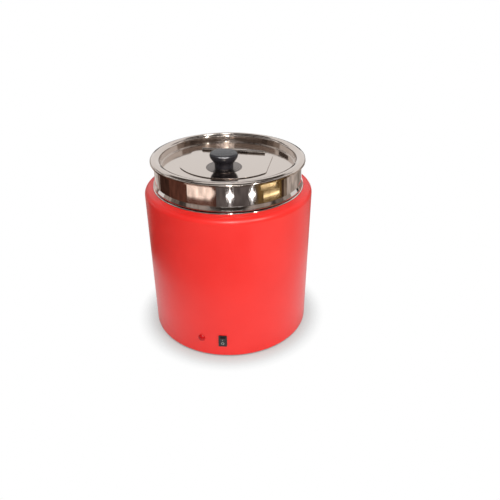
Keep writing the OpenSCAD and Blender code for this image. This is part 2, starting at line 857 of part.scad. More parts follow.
// Outline of the flap, grown all round by g
function flap_outline(g) =
    let (
        half_w = flap_half + g,
        front_r = flap_front_r + g,
        corner_r = flap_corner_r + g,
        back = flap_back + g,
        front_c = [0, flap_front_r - flap_front],
        inset = half_w - corner_r,
        reach = front_r - corner_r,
        swing = acos(inset / reach),
        corner_y = front_c[1] - reach * sin(swing)
    )
    concat(
        arc([inset, corner_y], corner_r, 0, -swing),
        after_first(arc(front_c, front_r, -swing, swing - 180, arc_steps)),
        after_first(arc([-inset, corner_y], corner_r, swing - 180, -180)),
        [[-half_w, back - flap_chamfer], [flap_chamfer - half_w, back],
            [half_w - flap_chamfer, back], [half_w, back - flap_chamfer]]
    );

module lid_dish() {
    path = concat(
        [[rim_x + lid_roll_mid, rim_z - lid_skirt]],
        arc([rim_x, rim_z], lid_roll_mid, 0, 90 - lid_slope, arc_steps),
        after_first(line([
            [edge_start[0], edge_start[1], 0],
            [crest[0], crest[1], crest_r],
            [brow[0], brow[1], brow_r],
            [wall_foot[0], wall_foot[1], lid_fold_r],
            [ledge_end[0], ledge_end[1], lid_fold_r / 2],
            [plate_r, lid_plate_z, lid_fold_r / 2],
            [0, lid_plate_z, 0]
        ]))
    );
    color("#cfc8c2") on_lid() difference() {
        spun(sheet(path, lid_t));
        translate([0, 0, lid_plate_z - lid_t / 2 - overrun])
            linear_extrude(lid_t + 2 * overrun) translate([flap_x, 0]) polygon(flap_outline(-flap_lap));
    }
}

module knuckle(from, to, bore_r) {
    translate([from, hinge_y, hinge_z]) rotate([0, 90, 0]) difference() {
        cylinder(h = to - from, r = barrel_r);
        translate([0, 0, -overrun]) cylinder(h = to - from + 2 * overrun, r = bore_r);
    }
}

module hinge_leaf() {
    inner = mid_knuckle_l / 2 + knuckle_gap;
    outer = barrel_l / 2;
    strip_y = hinge_y + barrel_r + knuckle_gap;
    color("#8f8b88") on_flap() {
        translate([-outer, strip_y, lid_plate_top]) cube([barrel_l, leaf_w, leaf_t]);
        for (side = [0, 1]) mirror([side, 0, 0]) difference() {
            union() {
                translate([inner, hinge_y, lid_plate_top])
                    cube([outer - inner, strip_y - hinge_y + leaf_w, leaf_t]);
                knuckle(inner, outer, pin_r);
            }
            translate([inner - overrun, hinge_y, hinge_z]) rotate([0, 90, 0])
                cylinder(h = outer - inner + 2 * overrun, r = pin_r);
        }
    }
}

module hinge_pin() {
    half = barrel_l / 2;
    color("#77736f") on_flap() translate([0, hinge_y, hinge_z]) rotate([0, 90, 0]) {
        translate([0, 0, -half]) cylinder(h = barrel_l, r = pin_r);
        for (z = [-half - pin_head_t, half]) translate([0, 0, z]) cylinder(h = pin_head_t, r = pin_head_r);
    }
}

// Flap body

module lid_flap() {
    half = mid_knuckle_l / 2;
    color("#cfc8c2") on_flap() {
        difference() {
            union() {
                translate([0, 0, flap_z]) linear_extrude(flap_t) polygon(flap_outline(0));
                translate([-half, flap_back - overrun, flap_z])
                    cube([mid_knuckle_l, hinge_y - flap_back + overrun, flap_t]);
                knuckle(-half, half, pin_r + run_gap);
            }
            translate([-half - overrun, hinge_y, hinge_z]) rotate([0, 90, 0])
                cylinder(h = mid_knuckle_l + 2 * overrun, r = pin_r + run_gap);
            translate([0, knob_y, flap_z - overrun])
                cylinder(h = flap_t + 2 * overrun, d = knob_screw_d + 2 * hole_gap);
        }
    }
}

module knob_seat() {
    edge = seat_t * seat_edge_share;
    hole = knob_screw_d / 2 + hole_gap;
    color("#7d7672") at_knob(flap_top)
        spun([[hole, 0], [seat_d / 2, 0], [seat_d / 2, seat_t - edge], [knob_foot_d / 2, seat_t],
            [hole, seat_t]]);
}

// The knob swells from its foot to its top in one S-shaped curve
module knob() {
    foot_r = knob_foot_d / 2;
    top_r = knob_top_d / 2;
    stem_h = knob_h * knob_stem_share;
    edge_z = knob_h - knob_edge_r;
    flare = [for (i = [0:arc_steps])
        let (s = i / arc_steps)
        [foot_r + (top_r - foot_r) * (1 - cos(180 * s)) / 2, stem_h + (edge_z - stem_h) * s]];
    screw_l = knob_h * knob_screw_share;
    outline = concat([[0, 0], [foot_r, 0]], flare,
        after_first(arc([top_r - knob_edge_r, edge_z], knob_edge_r, 0, 90)), [[0, knob_h]]);
    color("#232226") at_knob(knob_z) difference() {
        spun(outline);
        translate([0, 0, -overrun]) cylinder(h = screw_l + overrun, d = knob_screw_d);
    }
}

module knob_screw() {
    color("#c9ccce") at_knob(flap_z)
        screw(knob_screw_d, flap_t + seat_t + knob_h * knob_screw_share);
}

// Places of the pivots and the main heights, printed for checking
echo(rocker_pivot = [(shell_r + bezel_t - pivot_in) * sin(switch_turn),
    -(shell_r + bezel_t - pivot_in) * cos(switch_turn), switch_z]);
echo(flap_pivot = [flap_x * cos(lid_turn) - hinge_y * sin(lid_turn),
    flap_x * sin(lid_turn) + hinge_y * cos(lid_turn), hinge_z]);
echo(well_floor = well_floor, pot_floor = pot_floor, rim_z = rim_z, lid_plate_top = lid_plate_top,
    flap_z = flap_z, knob_top = knob_z + knob_h, pot_r = pot_r, heater_z = heater_z, plate_r = plate_r,
    ring_top = ring_top, clamp_z = clamp_z);

outer_shell();
base_plate();
base_tabs();
base_screws();
rubber_feet();
foot_screws();
foot_nuts();
well_pan();
well_gasket();
insulation_wrap();
heater_plate();
heater_tube();
heater_clamp();
centre_stud();
stud_nuts();
thermostat();
thermal_cutout();
stat_fixings();
terminal_block();
terminal_screws();
earth_screw();
earth_nut();
lamp_lens();
lamp_holder();
lamp_nut();
switch_housing();
switch_tabs();
switch_rocker();
cord_gland();
gland_locknut();
wiring_leads();
inner_pot();
lid_dish();
hinge_leaf();
hinge_pin();
lid_flap();
knob_seat();
knob();
knob_screw();
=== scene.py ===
# %% [markdown]
# # A soup station, dressed for the camera
# The object is a catering kettle: a red sheet-steel casing, a steel water well, a lift-out
# pot and a dished lid with a serving flap. A CAD model already holds every piece at its real
# size, so this lesson starts by loading it as a fixed frame. A CAD piece is never moved. It
# either gets a better finish, or a finer mesh takes its place.

# %% Load the frame
import json
import math

import bmesh
import bpy
from mathutils import Matrix, Vector


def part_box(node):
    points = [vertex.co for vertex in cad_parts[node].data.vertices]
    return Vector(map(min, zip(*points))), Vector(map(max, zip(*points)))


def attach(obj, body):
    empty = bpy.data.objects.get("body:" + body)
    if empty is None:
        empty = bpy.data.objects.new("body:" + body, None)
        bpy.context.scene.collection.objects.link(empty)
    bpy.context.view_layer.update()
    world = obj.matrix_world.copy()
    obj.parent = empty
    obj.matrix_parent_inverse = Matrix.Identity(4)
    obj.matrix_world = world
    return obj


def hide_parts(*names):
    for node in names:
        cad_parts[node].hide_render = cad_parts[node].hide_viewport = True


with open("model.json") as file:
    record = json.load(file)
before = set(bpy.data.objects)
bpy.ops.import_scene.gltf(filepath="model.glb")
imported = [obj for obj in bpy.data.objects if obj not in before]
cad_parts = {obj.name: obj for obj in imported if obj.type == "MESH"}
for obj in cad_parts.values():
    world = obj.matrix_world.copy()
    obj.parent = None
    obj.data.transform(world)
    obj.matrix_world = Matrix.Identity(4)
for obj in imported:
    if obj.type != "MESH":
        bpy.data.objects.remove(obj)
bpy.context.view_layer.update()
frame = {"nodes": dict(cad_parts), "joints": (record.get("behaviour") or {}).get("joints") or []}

scene = bpy.context.scene
MM = 0.001

# %% [markdown]
# ## The camera
# A camera can be placed by eye, but here the photograph gives it: the ellipses of the lid and
# the foot fix its height and distance, and the upright sides fix its pitch. The lens is the
# focal length in pixels, carried over to Blender's 36 mm sensor.

# %% Camera
photo_px = 500
focal_px = 502.67
sensor_mm = 36.0
pitch_down = math.radians(30.01)
camera_data = bpy.data.cameras.new("camera")
camera_data.sensor_width = sensor_mm
camera_data.lens = sensor_mm * focal_px / photo_px
camera = bpy.data.objects.new("camera", camera_data)
camera.location = (0.0413, -0.9042, 0.6692)
camera.rotation_euler = (math.pi / 2 - pitch_down, 0, 0)
scene.collection.objects.link(camera)
scene.camera = camera
scene.view_settings.view_transform = "Standard"
print("lens", round(camera_data.lens, 2), "mm")

# %% [markdown]
# ## Outlines
# Nearly every part of a kettle is spun or pressed round one axis, so its outline says almost
# all about it. The outline could be a curve object, but then each corner radius hides in the
# curve's handles. We write it as points and round its corners with arcs, so that a radius
# stays a number that can be read.

# %% Outline helpers
speck = 0.001 * MM  # points closer than this count as one


def arc(centre, radius, start, stop, steps=12):
    """Points along an arc about a centre, from one direction to another, in degrees."""
    turns = [math.radians(start + (stop - start) * i / steps) for i in range(steps + 1)]
    return [Vector(centre) + radius * Vector((math.cos(a), math.sin(a))) for a in turns]


def rounded(points, steps=10):
    """A line through (r, z, corner radius) points, with its corners turned into arcs."""
    line = [Vector(points[0][:2])]
    for before, here, after in zip(points, points[1:], points[2:]):
        corner, radius = Vector(here[:2]), here[2]
        back = (Vector(before[:2]) - corner).normalized()
        on = (Vector(after[:2]) - corner).normalized()
        half = back.angle(on) / 2
        centre = corner + (back + on).normalized() * radius / math.sin(half)
        first = corner + back * radius / math.tan(half) - centre
        last = corner + on * radius / math.tan(half) - centre
        start = math.degrees(math.atan2(first.y, first.x))
        sweep = (math.degrees(math.atan2(last.y, last.x)) - start + 540) % 360 - 180
        line += arc(centre, radius, start, start + sweep, steps)
    return line + [Vector(points[-1][:2])]


def joined(*parts):
    """Several runs of points as one line, without points that repeat."""
    line = []
    for point in (Vector(p) for part in parts for p in part):
        if not line or (point - line[-1]).length > speck:
            line.append(point)
    return line


print("a quarter circle takes", len(arc((0, 0), 1, 0, 90)), "points")

# %% [markdown]
# ## Sheet metal and the lathe
# A spun part could be a Screw modifier on a curve. Here bmesh spins the points itself: it lays
# one ring of vertices for each point and joins neighbouring rings with faces. A point on the
# axis becomes a single vertex, so a closed end has no pile of points in it. Sheet metal is
# drawn as the line through its middle, and a helper gives that line its thickness.

# %% Sheet and lathe
round_steps = 256


def sheet(line, thickness):
    """The closed outline of a sheet whose middle follows a line."""
    steps = [(b - a).normalized() for a, b in zip(line, line[1:])]
    sides = [Vector((s.y, -s.x)) for s in steps]
    pairs = zip([sides[0]] + sides, sides + [sides[-1]])
    offsets = [(a + b) / (1 + a.dot(b)) * thickness / 2 for a, b in pairs]
    front = [p + o for p, o in zip(line, offsets)]
    return front + [p - o for p, o in zip(line, offsets)][::-1]


def as_object(name, mesh):
    """Turns a bmesh into a linked object with its faces turned outward."""
    bmesh.ops.recalc_face_normals(mesh, faces=mesh.faces)
    data = bpy.data.meshes.new(name)
    mesh.to_mesh(data)
    mesh.free()
    made = bpy.data.objects.new(name, data)
    scene.collection.objects.link(made)
    return made


def lathe(name, outline, segments=round_steps):
    """A new object made by spinning a closed outline of (r, z) points about the Z axis."""
    mesh = bmesh.new()
    turns = [math.tau * i / segments for i in range(segments)]
    rings = []
    for r, z in outline:
        places = [(r * math.cos(a), r * math.sin(a), z) for a in turns]
        if r < speck:
            places = [(0, 0, z)]
        rings.append([mesh.verts.new(p) for p in places])
    for one, other in zip(rings, rings[1:] + rings[:1]):
        if len(one) == len(other) == 1:
            continue
        for i in range(segments):
            j = i + 1
            loop = [one[i % len(one)], one[j % len(one)],
                    other[j % len(other)], other[i % len(other)]]
            mesh.faces.new(list(dict.fromkeys(loop)))
    return as_object(name, mesh)


print("one turn of the lathe has", round_steps, "steps")

# %% [markdown]
# ## Colours and nodes
# A colour picked on screen is sRGB, while Blender's shaders work in linear light. One function
# turns a hex value into the linear colour that a socket wants. Nodes could be placed by hand
# in the shader editor, but a script can be read and repeated, so one small function adds a
# node with its settings, values and links.

# %% Colours and nodes
def colour(code):
    """A hex sRGB colour as linear RGBA."""
    parts = [int(code[i:i + 2], 16) / 255 for i in (1, 3, 5)]
    return [c / 12.92 if c <= 0.04045 else ((c + 0.055) / 1.055) ** 2.4 for c in parts] + [1.0]


def add_node(owner, kind, inputs=None, **settings):
    """Adds a node to a material or world, with settings, and inputs as values or links."""
    made = owner.node_tree.nodes.new(kind)
    for key, value in settings.items():
        setattr(made, key, value)
    for key, value in (inputs or {}).items():
        if isinstance(value, bpy.types.NodeSocket):
            owner.node_tree.links.new(value, made.inputs[key])
        else:
            made.inputs[key].default_value = value
    return made


def new_material(name, values):
    """A material and its Principled shader, whose even values are set on its own sockets."""
    material = bpy.data.materials.new(name)
    material.use_nodes = True
    shader = material.node_tree.nodes["Principled BSDF"]
    for key, value in values.items():
        shader.inputs[key].default_value = value
    return material, shader


print("half grey on screen is", round(colour("#808080")[0], 3), "in linear light")

# %% [markdown]
# ## Red powder coat
# The casing is sheet steel with a baked polyester powder coat. The powder melts and levels
# but never quite flattens, which leaves a satin gloss over a shallow orange peel. The pigment
# is even, and only a slow drift from the baking shows. Coated, moulded and cast surfaces all
# follow one recipe here: a slow cloud in the colour, a finer grain in the gloss, and the same
# grain as a shallow relief. Each finish then gets its own sizes in millimetres, and a grain
# that is really too fine for the render is drawn as coarse as it needs to show.

# %% Red powder coat
noise_low, noise_high = 0.3, 0.7  # a noise node rarely leaves this range
cloud_stops = (0.35, 0.65)


def grained(name, values, tints, gloss, cloud, grain, depth):
    """A finish whose colour drifts between two tints and whose gloss varies over a relief.

    The cloud and the grain are sizes in metres, gloss is a range of roughness.
    """
    made, shader = new_material(name, values)
    link = made.node_tree.links.new
    spot = add_node(made, "ShaderNodeTexCoord").outputs["Object"]
    slow = add_node(made, "ShaderNodeTexNoise",
                    {"Vector": spot, "Scale": 1 / cloud, "Detail": 3.0})
    fine = add_node(made, "ShaderNodeTexNoise",
                    {"Vector": spot, "Scale": 1 / grain, "Detail": 2.0})
    ramp = add_node(made, "ShaderNodeValToRGB", {"Fac": slow.outputs["Fac"]})
    for stop, tint, where in zip(ramp.color_ramp.elements, tints, cloud_stops):
        stop.color = colour(tint)
        stop.position = where
    link(ramp.outputs["Color"], shader.inputs["Base Color"])
    spread = {"Value": fine.outputs["Fac"], "From Min": noise_low, "From Max": noise_high,
              "To Min": gloss[0], "To Max": gloss[1]}
    rough = add_node(made, "ShaderNodeMapRange", spread)
    link(rough.outputs["Result"], shader.inputs["Roughness"])
    relief = add_node(made, "ShaderNodeBump", {"Height": fine.outputs["Fac"], "Distance": depth})
    link(relief.outputs["Normal"], shader.inputs["Normal"])
    print("made", name)
    return made


# Real orange peel is about 2 mm wide. It is drawn coarser, so that it shows in a small render.
peel_width = 3.5 * MM
peel_depth = 0.012 * MM
drift_width = 90 * MM
red_coat = grained("red_polyester_powder_coat", {"IOR": 1.5}, ("#EA2520", "#EE2B26"),
                   gloss=(0.32, 0.40), cloud=drift_width, grain=peel_width, depth=peel_depth)

# %% [markdown]
# ## The casing
# The casing is a rolled cylinder with a rounded shoulder, a slightly conical top and a hem
# folded in at the foot. The CAD solid has the same outline in straight steps. Spun again with
# finer steps, it lets the highlight run along the shoulder without facets. The sizes come from
# the CAD node's box where that holds them.

# %% Casing
shell_low, shell_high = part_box("outer_shell")
shell_r = shell_high.x
shell_t = 1.2 * MM
shoulder_r = 11 * MM
shoulder_rise = 3 * MM
opening_r = 136.2 * MM
hem_h = 6 * MM
shell_top = 299.5 * MM
wall_mid = shell_r - shell_t / 2
tilt = math.atan2(shoulder_rise, shell_r - shoulder_r - opening_r)


def shoulder_z(r):
    """Height of the casing's conical top at a radius."""
    return shell_top + (opening_r - r) * math.tan(tilt)


sheet_drop = shell_t / 2 / math.cos(tilt)
hem_fold = 0.51 * shell_t
hem_mid = wall_mid - 2 * hem_fold
fold_z = shell_low.z + shell_t / 2 + hem_fold
casing_line = joined(
    [(hem_mid, shell_low.z + hem_h)],
    arc((wall_mid - hem_fold, fold_z), hem_fold, 180, 360),
    rounded([
        (wall_mid, fold_z, 0),
        (wall_mid, shoulder_z(wall_mid) - sheet_drop, shoulder_r - shell_t / 2),
        (opening_r, shoulder_z(opening_r) - sheet_drop, 0),
    ], steps=20),
)
casing = lathe("casing", sheet(casing_line, shell_t))
print("casing", round(2 * shell_r / MM, 1), "mm across,", len(casing_line), "points in its line")

# %% [markdown]
# ## Punching through sheet
# Holes in sheet metal are punched. They could be modelled into the faces, but on a spun
# surface a Boolean modifier is simpler and as exact: a block with the hole's outline is cut
# out of the wall. The same kind of block, with a softened edge, later makes the flat pieces.

# %% Prism and cut
keen = 0.01 * MM  # the edge of a cutter, as good as sharp


def prism(name, outline, depth, edge, place=Matrix.Identity(4)):
    """A flat outline in XY with a depth along +Z and softened edges, put in its place."""
    mesh = bmesh.new()
    face = mesh.faces.new([mesh.verts.new((x, y, 0)) for x, y in outline])
    pushed = bmesh.ops.extrude_face_region(mesh, geom=[face])["geom"]
    moved = [g for g in pushed if isinstance(g, bmesh.types.BMVert)]
    bmesh.ops.translate(mesh, verts=moved, vec=(0, 0, depth))
    rims = [e for e in mesh.edges if abs(e.verts[0].co.z - e.verts[1].co.z) < edge / 10]
    bmesh.ops.recalc_face_normals(mesh, faces=mesh.faces)
    bmesh.ops.bevel(mesh, geom=rims, offset=edge, segments=3, profile=0.5, affect="EDGES")
    mesh.transform(place)
    return as_object(name, mesh)


def cut(piece, cutter):
    """Cuts one object's shape out of another, and throws the cutter away."""
    knife = piece.modifiers.new("cut", "BOOLEAN")
    knife.object = cutter
    knife.solver = "EXACT"
    whole = piece.evaluated_get(bpy.context.evaluated_depsgraph_get())
    piece.data = bpy.data.meshes.new_from_object(whole)
    piece.modifiers.clear()
    bpy.data.objects.remove(cutter)


print("a cutter's edge is", keen / MM, "mm")

# %% [markdown]
# ## Holes in the casing
# The rocker switch snaps into an upright slot, and the pilot lamp and the cord gland sit in
# round holes. Each is given by its outline, its direction from the front and its height. A
# matrix turns the flat outline to face out of the wall, which saves working out where a curved
# wall is at that place.

# %% Holes in the casing
def outward(azimuth, z):
    """A place on the casing, turned from the front, with local Z pointing out of the wall."""
    turn = Matrix.Rotation(azimuth, 4, "Z")
    return turn @ Matrix.Translation((0, -shell_r, z)) @ Matrix.Rotation(math.pi / 2, 4, "X")


def box_outline(width, height, radius):
    """A rectangle with rounded corners, about the origin."""
    x, y = width / 2 - radius, height / 2 - radius
    corners = [((x, y), 0), ((-x, y), 90), ((-x, -y), 180), ((x, -y), 270)]
    return joined(*[arc(c, radius, start, start + 90, steps=6) for c, start in corners])


def round_outline(radius):
    """A circle as an outline."""
    return arc((0, 0), radius, 0, 360, steps=48)[:-1]


switch_turn = math.radians(-3.8)
lamp_turn = math.radians(-18.7)
switch_z = 39 * MM
lamp_z = 40 * MM
gland_z = 40 * MM
cut_depth = 8 * MM
switch_hole = box_outline(width=13.24 * MM, height=22.1 * MM, radius=0.4 * MM)
lamp_hole = round_outline(radius=5.3 * MM)
gland_hole = round_outline(radius=8.3 * MM)
holes = [
    (switch_hole, switch_turn, switch_z),
    (lamp_hole, lamp_turn, lamp_z),
    (gland_hole, math.pi, gland_z),
]
for outline, azimuth, height in holes:
    hole_place = outward(azimuth, height) @ Matrix.Translation((0, 0, -cut_depth / 2))
    cut(casing, prism("cutter", outline, cut_depth, keen, hole_place))
print(len(holes), "holes cut in the casing")

# %% [markdown]
# ## Dressing a piece
# A finished mesh still has to be shaded, given its finish and hung on the body that carries
# it. Smooth shading alone would smear light over hard edges, so bends over a set angle stay
# sharp, and weighted normals keep a flat face flat beside a rounded one. Riding lets the piece
# move with its body, and replacing hides the CAD node that it stands for.

# %% Dress the casing
crease = math.radians(32)


def dress(piece, material, body, slot, *nodes):
    """Shades a piece, gives it its finish, and lets it ride in place of its CAD nodes."""
    piece.data.shade_smooth()
    piece.data.set_sharp_from_angle(angle=crease)
    piece.modifiers.new("even_normals", "WEIGHTED_NORMAL").keep_sharp = True
    piece.data.materials.clear()
    piece.data.materials.append(material)
    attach(piece, body)
    if nodes:
        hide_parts(*nodes)
    print(piece.name, len(piece.data.polygons), "faces, on", body)
    return piece


dress(casing, red_coat, "kettle", "red_coat", "outer_shell")

# %% [markdown]
# ## Polished stainless steel
# Well, pot and lid are spun from chrome-nickel steel and polished on the lathe. Polishing
# leaves very fine rings round the axis. Each ring scatters light across itself, so a lamp
# draws out into an upright streak on the neck. That is anisotropy, and the Tangent node tells
# the shader which way the rings run. A faint relief in rings adds the drawn lines.

# %% Polished stainless steel
line_gap = 0.9 * MM  # really some hundredths of a millimetre, drawn wider so that it shows
line_depth = 0.0012 * MM
wipe_width = 35 * MM  # cloths and hands leave a slow cloud over the polish
across_rings = 0.25  # a quarter turn, because the streak lies across the rings


def spun_steel(name, tint, gloss, streak):
    """Steel polished in rings round the Z axis, with a range of roughness and a streak."""
    steel, shader = new_material(name, {
        "Base Color": colour(tint), "Metallic": 1.0,
        "Anisotropic": streak, "Anisotropic Rotation": across_rings,
    })
    link = steel.node_tree.links.new
    spot = add_node(steel, "ShaderNodeTexCoord").outputs["Object"]
    level = add_node(steel, "ShaderNodeVectorMath", {0: spot, 1: (1, 1, 0)},
                     operation="MULTIPLY")
    radius = add_node(steel, "ShaderNodeVectorMath", {0: level.outputs["Vector"]},
                      operation="LENGTH")
    height = add_node(steel, "ShaderNodeSeparateXYZ", {"Vector": spot}).outputs["Z"]
    across = add_node(steel, "ShaderNodeCombineXYZ",
                      {"X": radius.outputs["Value"], "Y": height})
    rings = add_node(steel, "ShaderNodeTexNoise", {
        "Vector": across.outputs["Vector"], "Scale": 1 / line_gap, "Detail": 4.0})
    wiped = add_node(steel, "ShaderNodeTexNoise",
                     {"Vector": spot, "Scale": 1 / wipe_width, "Detail": 3.0})
    both = add_node(steel, "ShaderNodeMath", {0: rings.outputs["Fac"], 1: wiped.outputs["Fac"]})
    # Two noises are added here, so their sum lies about 1.
    spread = {"Value": both.outputs["Value"], "From Min": 0.7, "From Max": 1.3,
              "To Min": gloss[0], "To Max": gloss[1]}
    rough = add_node(steel, "ShaderNodeMapRange", spread)
    link(rough.outputs["Result"], shader.inputs["Roughness"])
    relief = add_node(steel, "ShaderNodeBump",
                      {"Height": rings.outputs["Fac"], "Distance": line_depth})
    link(relief.outputs["Normal"], shader.inputs["Normal"])
    around = add_node(steel, "ShaderNodeTangent", direction_type="RADIAL", axis="Z")
    link(around.outputs["Tangent"], shader.inputs["Tangent"])
    print("made", name)
    return steel


# The spun neck is close to a mirror, the pressed lid a shade warmer and softer.
neck_steel = spun_steel("polished_stainless_spun", "#CFC8C3", gloss=(0.04, 0.08), streak=0.35)
lid_steel = spun_steel("polished_stainless_pressed", "#C9BEB6", gloss=(0.08, 0.13), streak=0.3)

# %% [markdown]
# ## The well
# The well hangs in the casing by a narrow ring, which also carries the pot. Only that ring
# shows while the pot is in, as a thin bright band above the red. The well could be two pieces,
# a pan and a ring, but it is spun from one sheet, so one line draws it. The ring follows the
# cone of the casing's top, one gasket higher, and its edge is round enough to catch the light.

# %% Well
well_t = 1 * MM
gasket_t = 0.8 * MM
well_low, well_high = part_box("well_pan")
ring_r = well_high.x
ring_edge = ring_r - well_t / 2
ring_round = 1.1 * MM
well_mid = 134.5 * MM
well_seat_r = 2.5 * MM
well_floor = well_low.z + well_t / 2
well_floor_r = 16 * MM


def ring_z(r):
    """Height of the middle of the ring's sheet at a radius."""
    return shoulder_z(r) + (gasket_t + well_t / 2) / math.cos(tilt)


well_line = rounded([
    (ring_edge, shoulder_z(ring_r - well_t), 0),
    (ring_edge, ring_z(ring_edge), ring_round),
    (well_mid, ring_z(well_mid), well_seat_r),
    (well_mid, well_floor, well_floor_r),
    (0, well_floor, 0),
])
well = lathe("well", sheet(well_line, well_t))
dress(well, neck_steel, "kettle", "polished_steel", "well_pan")

# %% [markdown]
# ## The pot
# The pot is the part that lifts out. From the top it has a rolled rim, a straight neck, a
# pressed bead that sits on the ring of the well, and a body that is a little narrower than
# the well. The roll is one arc that turns down past level, as a rolled edge does. The bead's
# sloping top is what draws the light line under the neck.

# %% Pot
pot_t = 0.8 * MM
pot_low, pot_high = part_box("inner_pot")
roll_r = 2.9 * MM
roll_mid = roll_r - pot_t / 2
rim_x = pot_high.x - roll_r
rim_z = pot_high.z - roll_r
neck_mid = rim_x - roll_mid
neck_h = 47 * MM
seat_z = rim_z - neck_h
bead_mid = neck_mid + 3.2 * MM
bead_face = 2.4 * MM
bead_rise = 8.7 * MM
pot_mid = 127.6 * MM
pot_floor = pot_low.z + pot_t / 2
pot_line = joined(
    arc((rim_x, rim_z), roll_mid, -70, 180, steps=36),
    rounded([
        (neck_mid, rim_z, 0),
        (neck_mid, seat_z + bead_rise, 3 * MM),
        (bead_mid, seat_z + bead_face, 1.2 * MM),
        (bead_mid, seat_z, 1 * MM),
        (pot_mid, seat_z, 3 * MM),
        (pot_mid, pot_floor, 20 * MM),
        (0, pot_floor, 0),
    ], steps=16),
)
pot = lathe("pot", sheet(pot_line, pot_t))
dress(pot, neck_steel, "pot", "polished_steel", "inner_pot")

# %% [markdown]
# ## The lid
# The lid is a dish. Its broad, rounded edge caps the rim of the pot, then a steep wall drops
# to a narrow ledge and the flat plate that carries the flap. It could be modelled with a few
# loops and a subdivision, but the roundness of the edge decides how the light runs round it,
# so the crest and the fold into the wall are true arcs.

# %% Lid
lid_t = 0.8 * MM
lid_low, lid_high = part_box("lid_dish")
lid_roll = lid_high.x - lid_t / 2 - rim_x
lid_plate = lid_low.z + lid_t / 2
slope = math.radians(18)
skirt_h = 1.6 * MM
edge_top = Vector((rim_x + lid_roll * math.sin(slope), rim_z + lid_roll * math.cos(slope)))
crest_x = rim_x - 5.1 * MM
crest = Vector((crest_x, edge_top.y + (edge_top.x - crest_x) * math.tan(slope)))
crest_round = 10 * MM
brow = Vector((rim_x + lid_roll - 17.5 * MM, crest.y - 3.2 * MM))
brow_round = 4.5 * MM
wall_lean = 0.04
ledge_z = lid_plate + 1.8 * MM
wall_foot = Vector((brow.x - (brow.y - ledge_z) * wall_lean, ledge_z))
ledge_end = wall_foot - Vector((2.4 * MM, 0.48 * MM))
plate_r = ledge_end.x - wall_lean * (ledge_end.y - lid_plate)
fold_r = 1.2 * MM
lid_line = joined(
    [(rim_x + lid_roll, rim_z - skirt_h)],
    arc((rim_x, rim_z), lid_roll, 0, 90 - math.degrees(slope), steps=30),
    rounded([
        (*edge_top, 0), (*crest, crest_round), (*brow, brow_round), (*wall_foot, fold_r),
        (*ledge_end, fold_r / 2), (plate_r, lid_plate, fold_r / 2), (0, lid_plate, 0),
    ], steps=16),
)
lid = lathe("lid", sheet(lid_line, lid_t))
print("the plate of the lid is", round(2 * plate_r / MM, 1), "mm across")

# %% [markdown]
# ## The ladle hatch
# The opening for the ladle is a flat-backed oval with cut rear corners, and the flap has the
# same outline a little larger, so that it laps over the opening. One function draws both: it
# takes how far to grow the outline, and keeps every side parallel to itself. Lid and flap are
# turned a few degrees, as the photograph shows them.

# %% Ladle hatch
flap_x = -2.5 * MM
flap_half = plate_r - 43.5 * MM
flap_front = plate_r - 43 * MM
flap_back = plate_r - 65.5 * MM
flap_bow = 43 * MM
flap_front_r = (flap_half ** 2 + flap_bow ** 2) / (2 * flap_bow)
flap_corner_r = 12 * MM
flap_chamfer = 9 * MM


def flap_outline(grow):
    """The flap seen from above, about its own middle, grown all round."""
    half, back = flap_half + grow, flap_back + grow
    front_r, corner_r = flap_front_r + grow, flap_corner_r + grow
    front_c = flap_front_r - flap_front
    inset, reach = half - corner_r, front_r - corner_r
    swing = math.degrees(math.acos(inset / reach))
    corner_y = front_c - reach * math.sin(math.radians(swing))
    return joined(
        arc((inset, corner_y), corner_r, 0, -swing),
        arc((0, front_c), front_r, -swing, swing - 180, steps=48),
        arc((-inset, corner_y), corner_r, swing - 180, -180),
        [(-half, back - flap_chamfer), (flap_chamfer - half, back)],
        [(half - flap_chamfer, back), (half, back - flap_chamfer)],
    )


flap_lap = 6 * MM
lid_turn = Matrix.Rotation(math.radians(-10), 4, "Z")
on_flap = lid_turn @ Matrix.Translation((flap_x, 0, 0))
hatch_depth = 4 * MM
hatch_place = on_flap @ Matrix.Translation((0, 0, lid_plate - hatch_depth / 2))
cut(lid, prism("cutter", flap_outline(-flap_lap), hatch_depth, keen, hatch_place))
dress(lid, lid_steel, "lid", "polished_steel", "lid_dish")

# %% [markdown]
# ## The serving flap
# The flap is a flat sheet that lies on the plate, with the middle of its rear edge rolled
# round the hinge pin. A knuckle could be a plain tube, but a rolled strip has the small gap
# where the sheet ends, and that gap is what makes it read as a hinge. The strip is drawn from
# the side as a line with a thickness, then pushed along the hinge.

# %% Serving flap
flap_t = 1 * MM
flap_edge, roll_edge = 0.3 * MM, 0.12 * MM
plate_top = lid_plate + lid_t / 2
flap_z = plate_top + 0.6 * MM
barrel_r = 3 * MM
hinge_y = flap_back + barrel_r + 0.9 * MM
hinge_z = plate_top + barrel_r + 0.3 * MM
barrel_half = flap_half - 18 * MM
knuckle_half = 0.44 * barrel_half
roll_sweep = 300
along_x = Matrix(((0, 0, 1, 0), (1, 0, 0, 0), (0, 1, 0, 0), (0, 0, 0, 1)))


def merge(one, other):
    """Joins a second object's mesh into the first."""
    whole = bmesh.new()
    for part in (one, other):
        whole.from_mesh(part.data)
    whole.to_mesh(one.data)
    whole.free()
    bpy.data.objects.remove(other)
    return one


def rolled(name, start_y, sheet_z, thickness, sides, sweep):
    """Strips rolled round the hinge: sides lists the (from, to) of each along the hinge."""
    radius = barrel_r - thickness / 2
    bottom = 270 if sweep > 0 else -90
    line = joined(
        [(start_y, sheet_z)],
        [(hinge_y + math.copysign(barrel_r, start_y - hinge_y), sheet_z)],
        arc((hinge_y, hinge_z), radius, bottom, bottom + sweep, steps=28),
    )
    made = None
    for begin, end in sides:
        side_place = on_flap @ Matrix.Translation((begin, 0, 0)) @ along_x
        strip = prism(name, sheet(line, thickness), end - begin, roll_edge, side_place)
        made = merge(made, strip) if made else strip
    return made


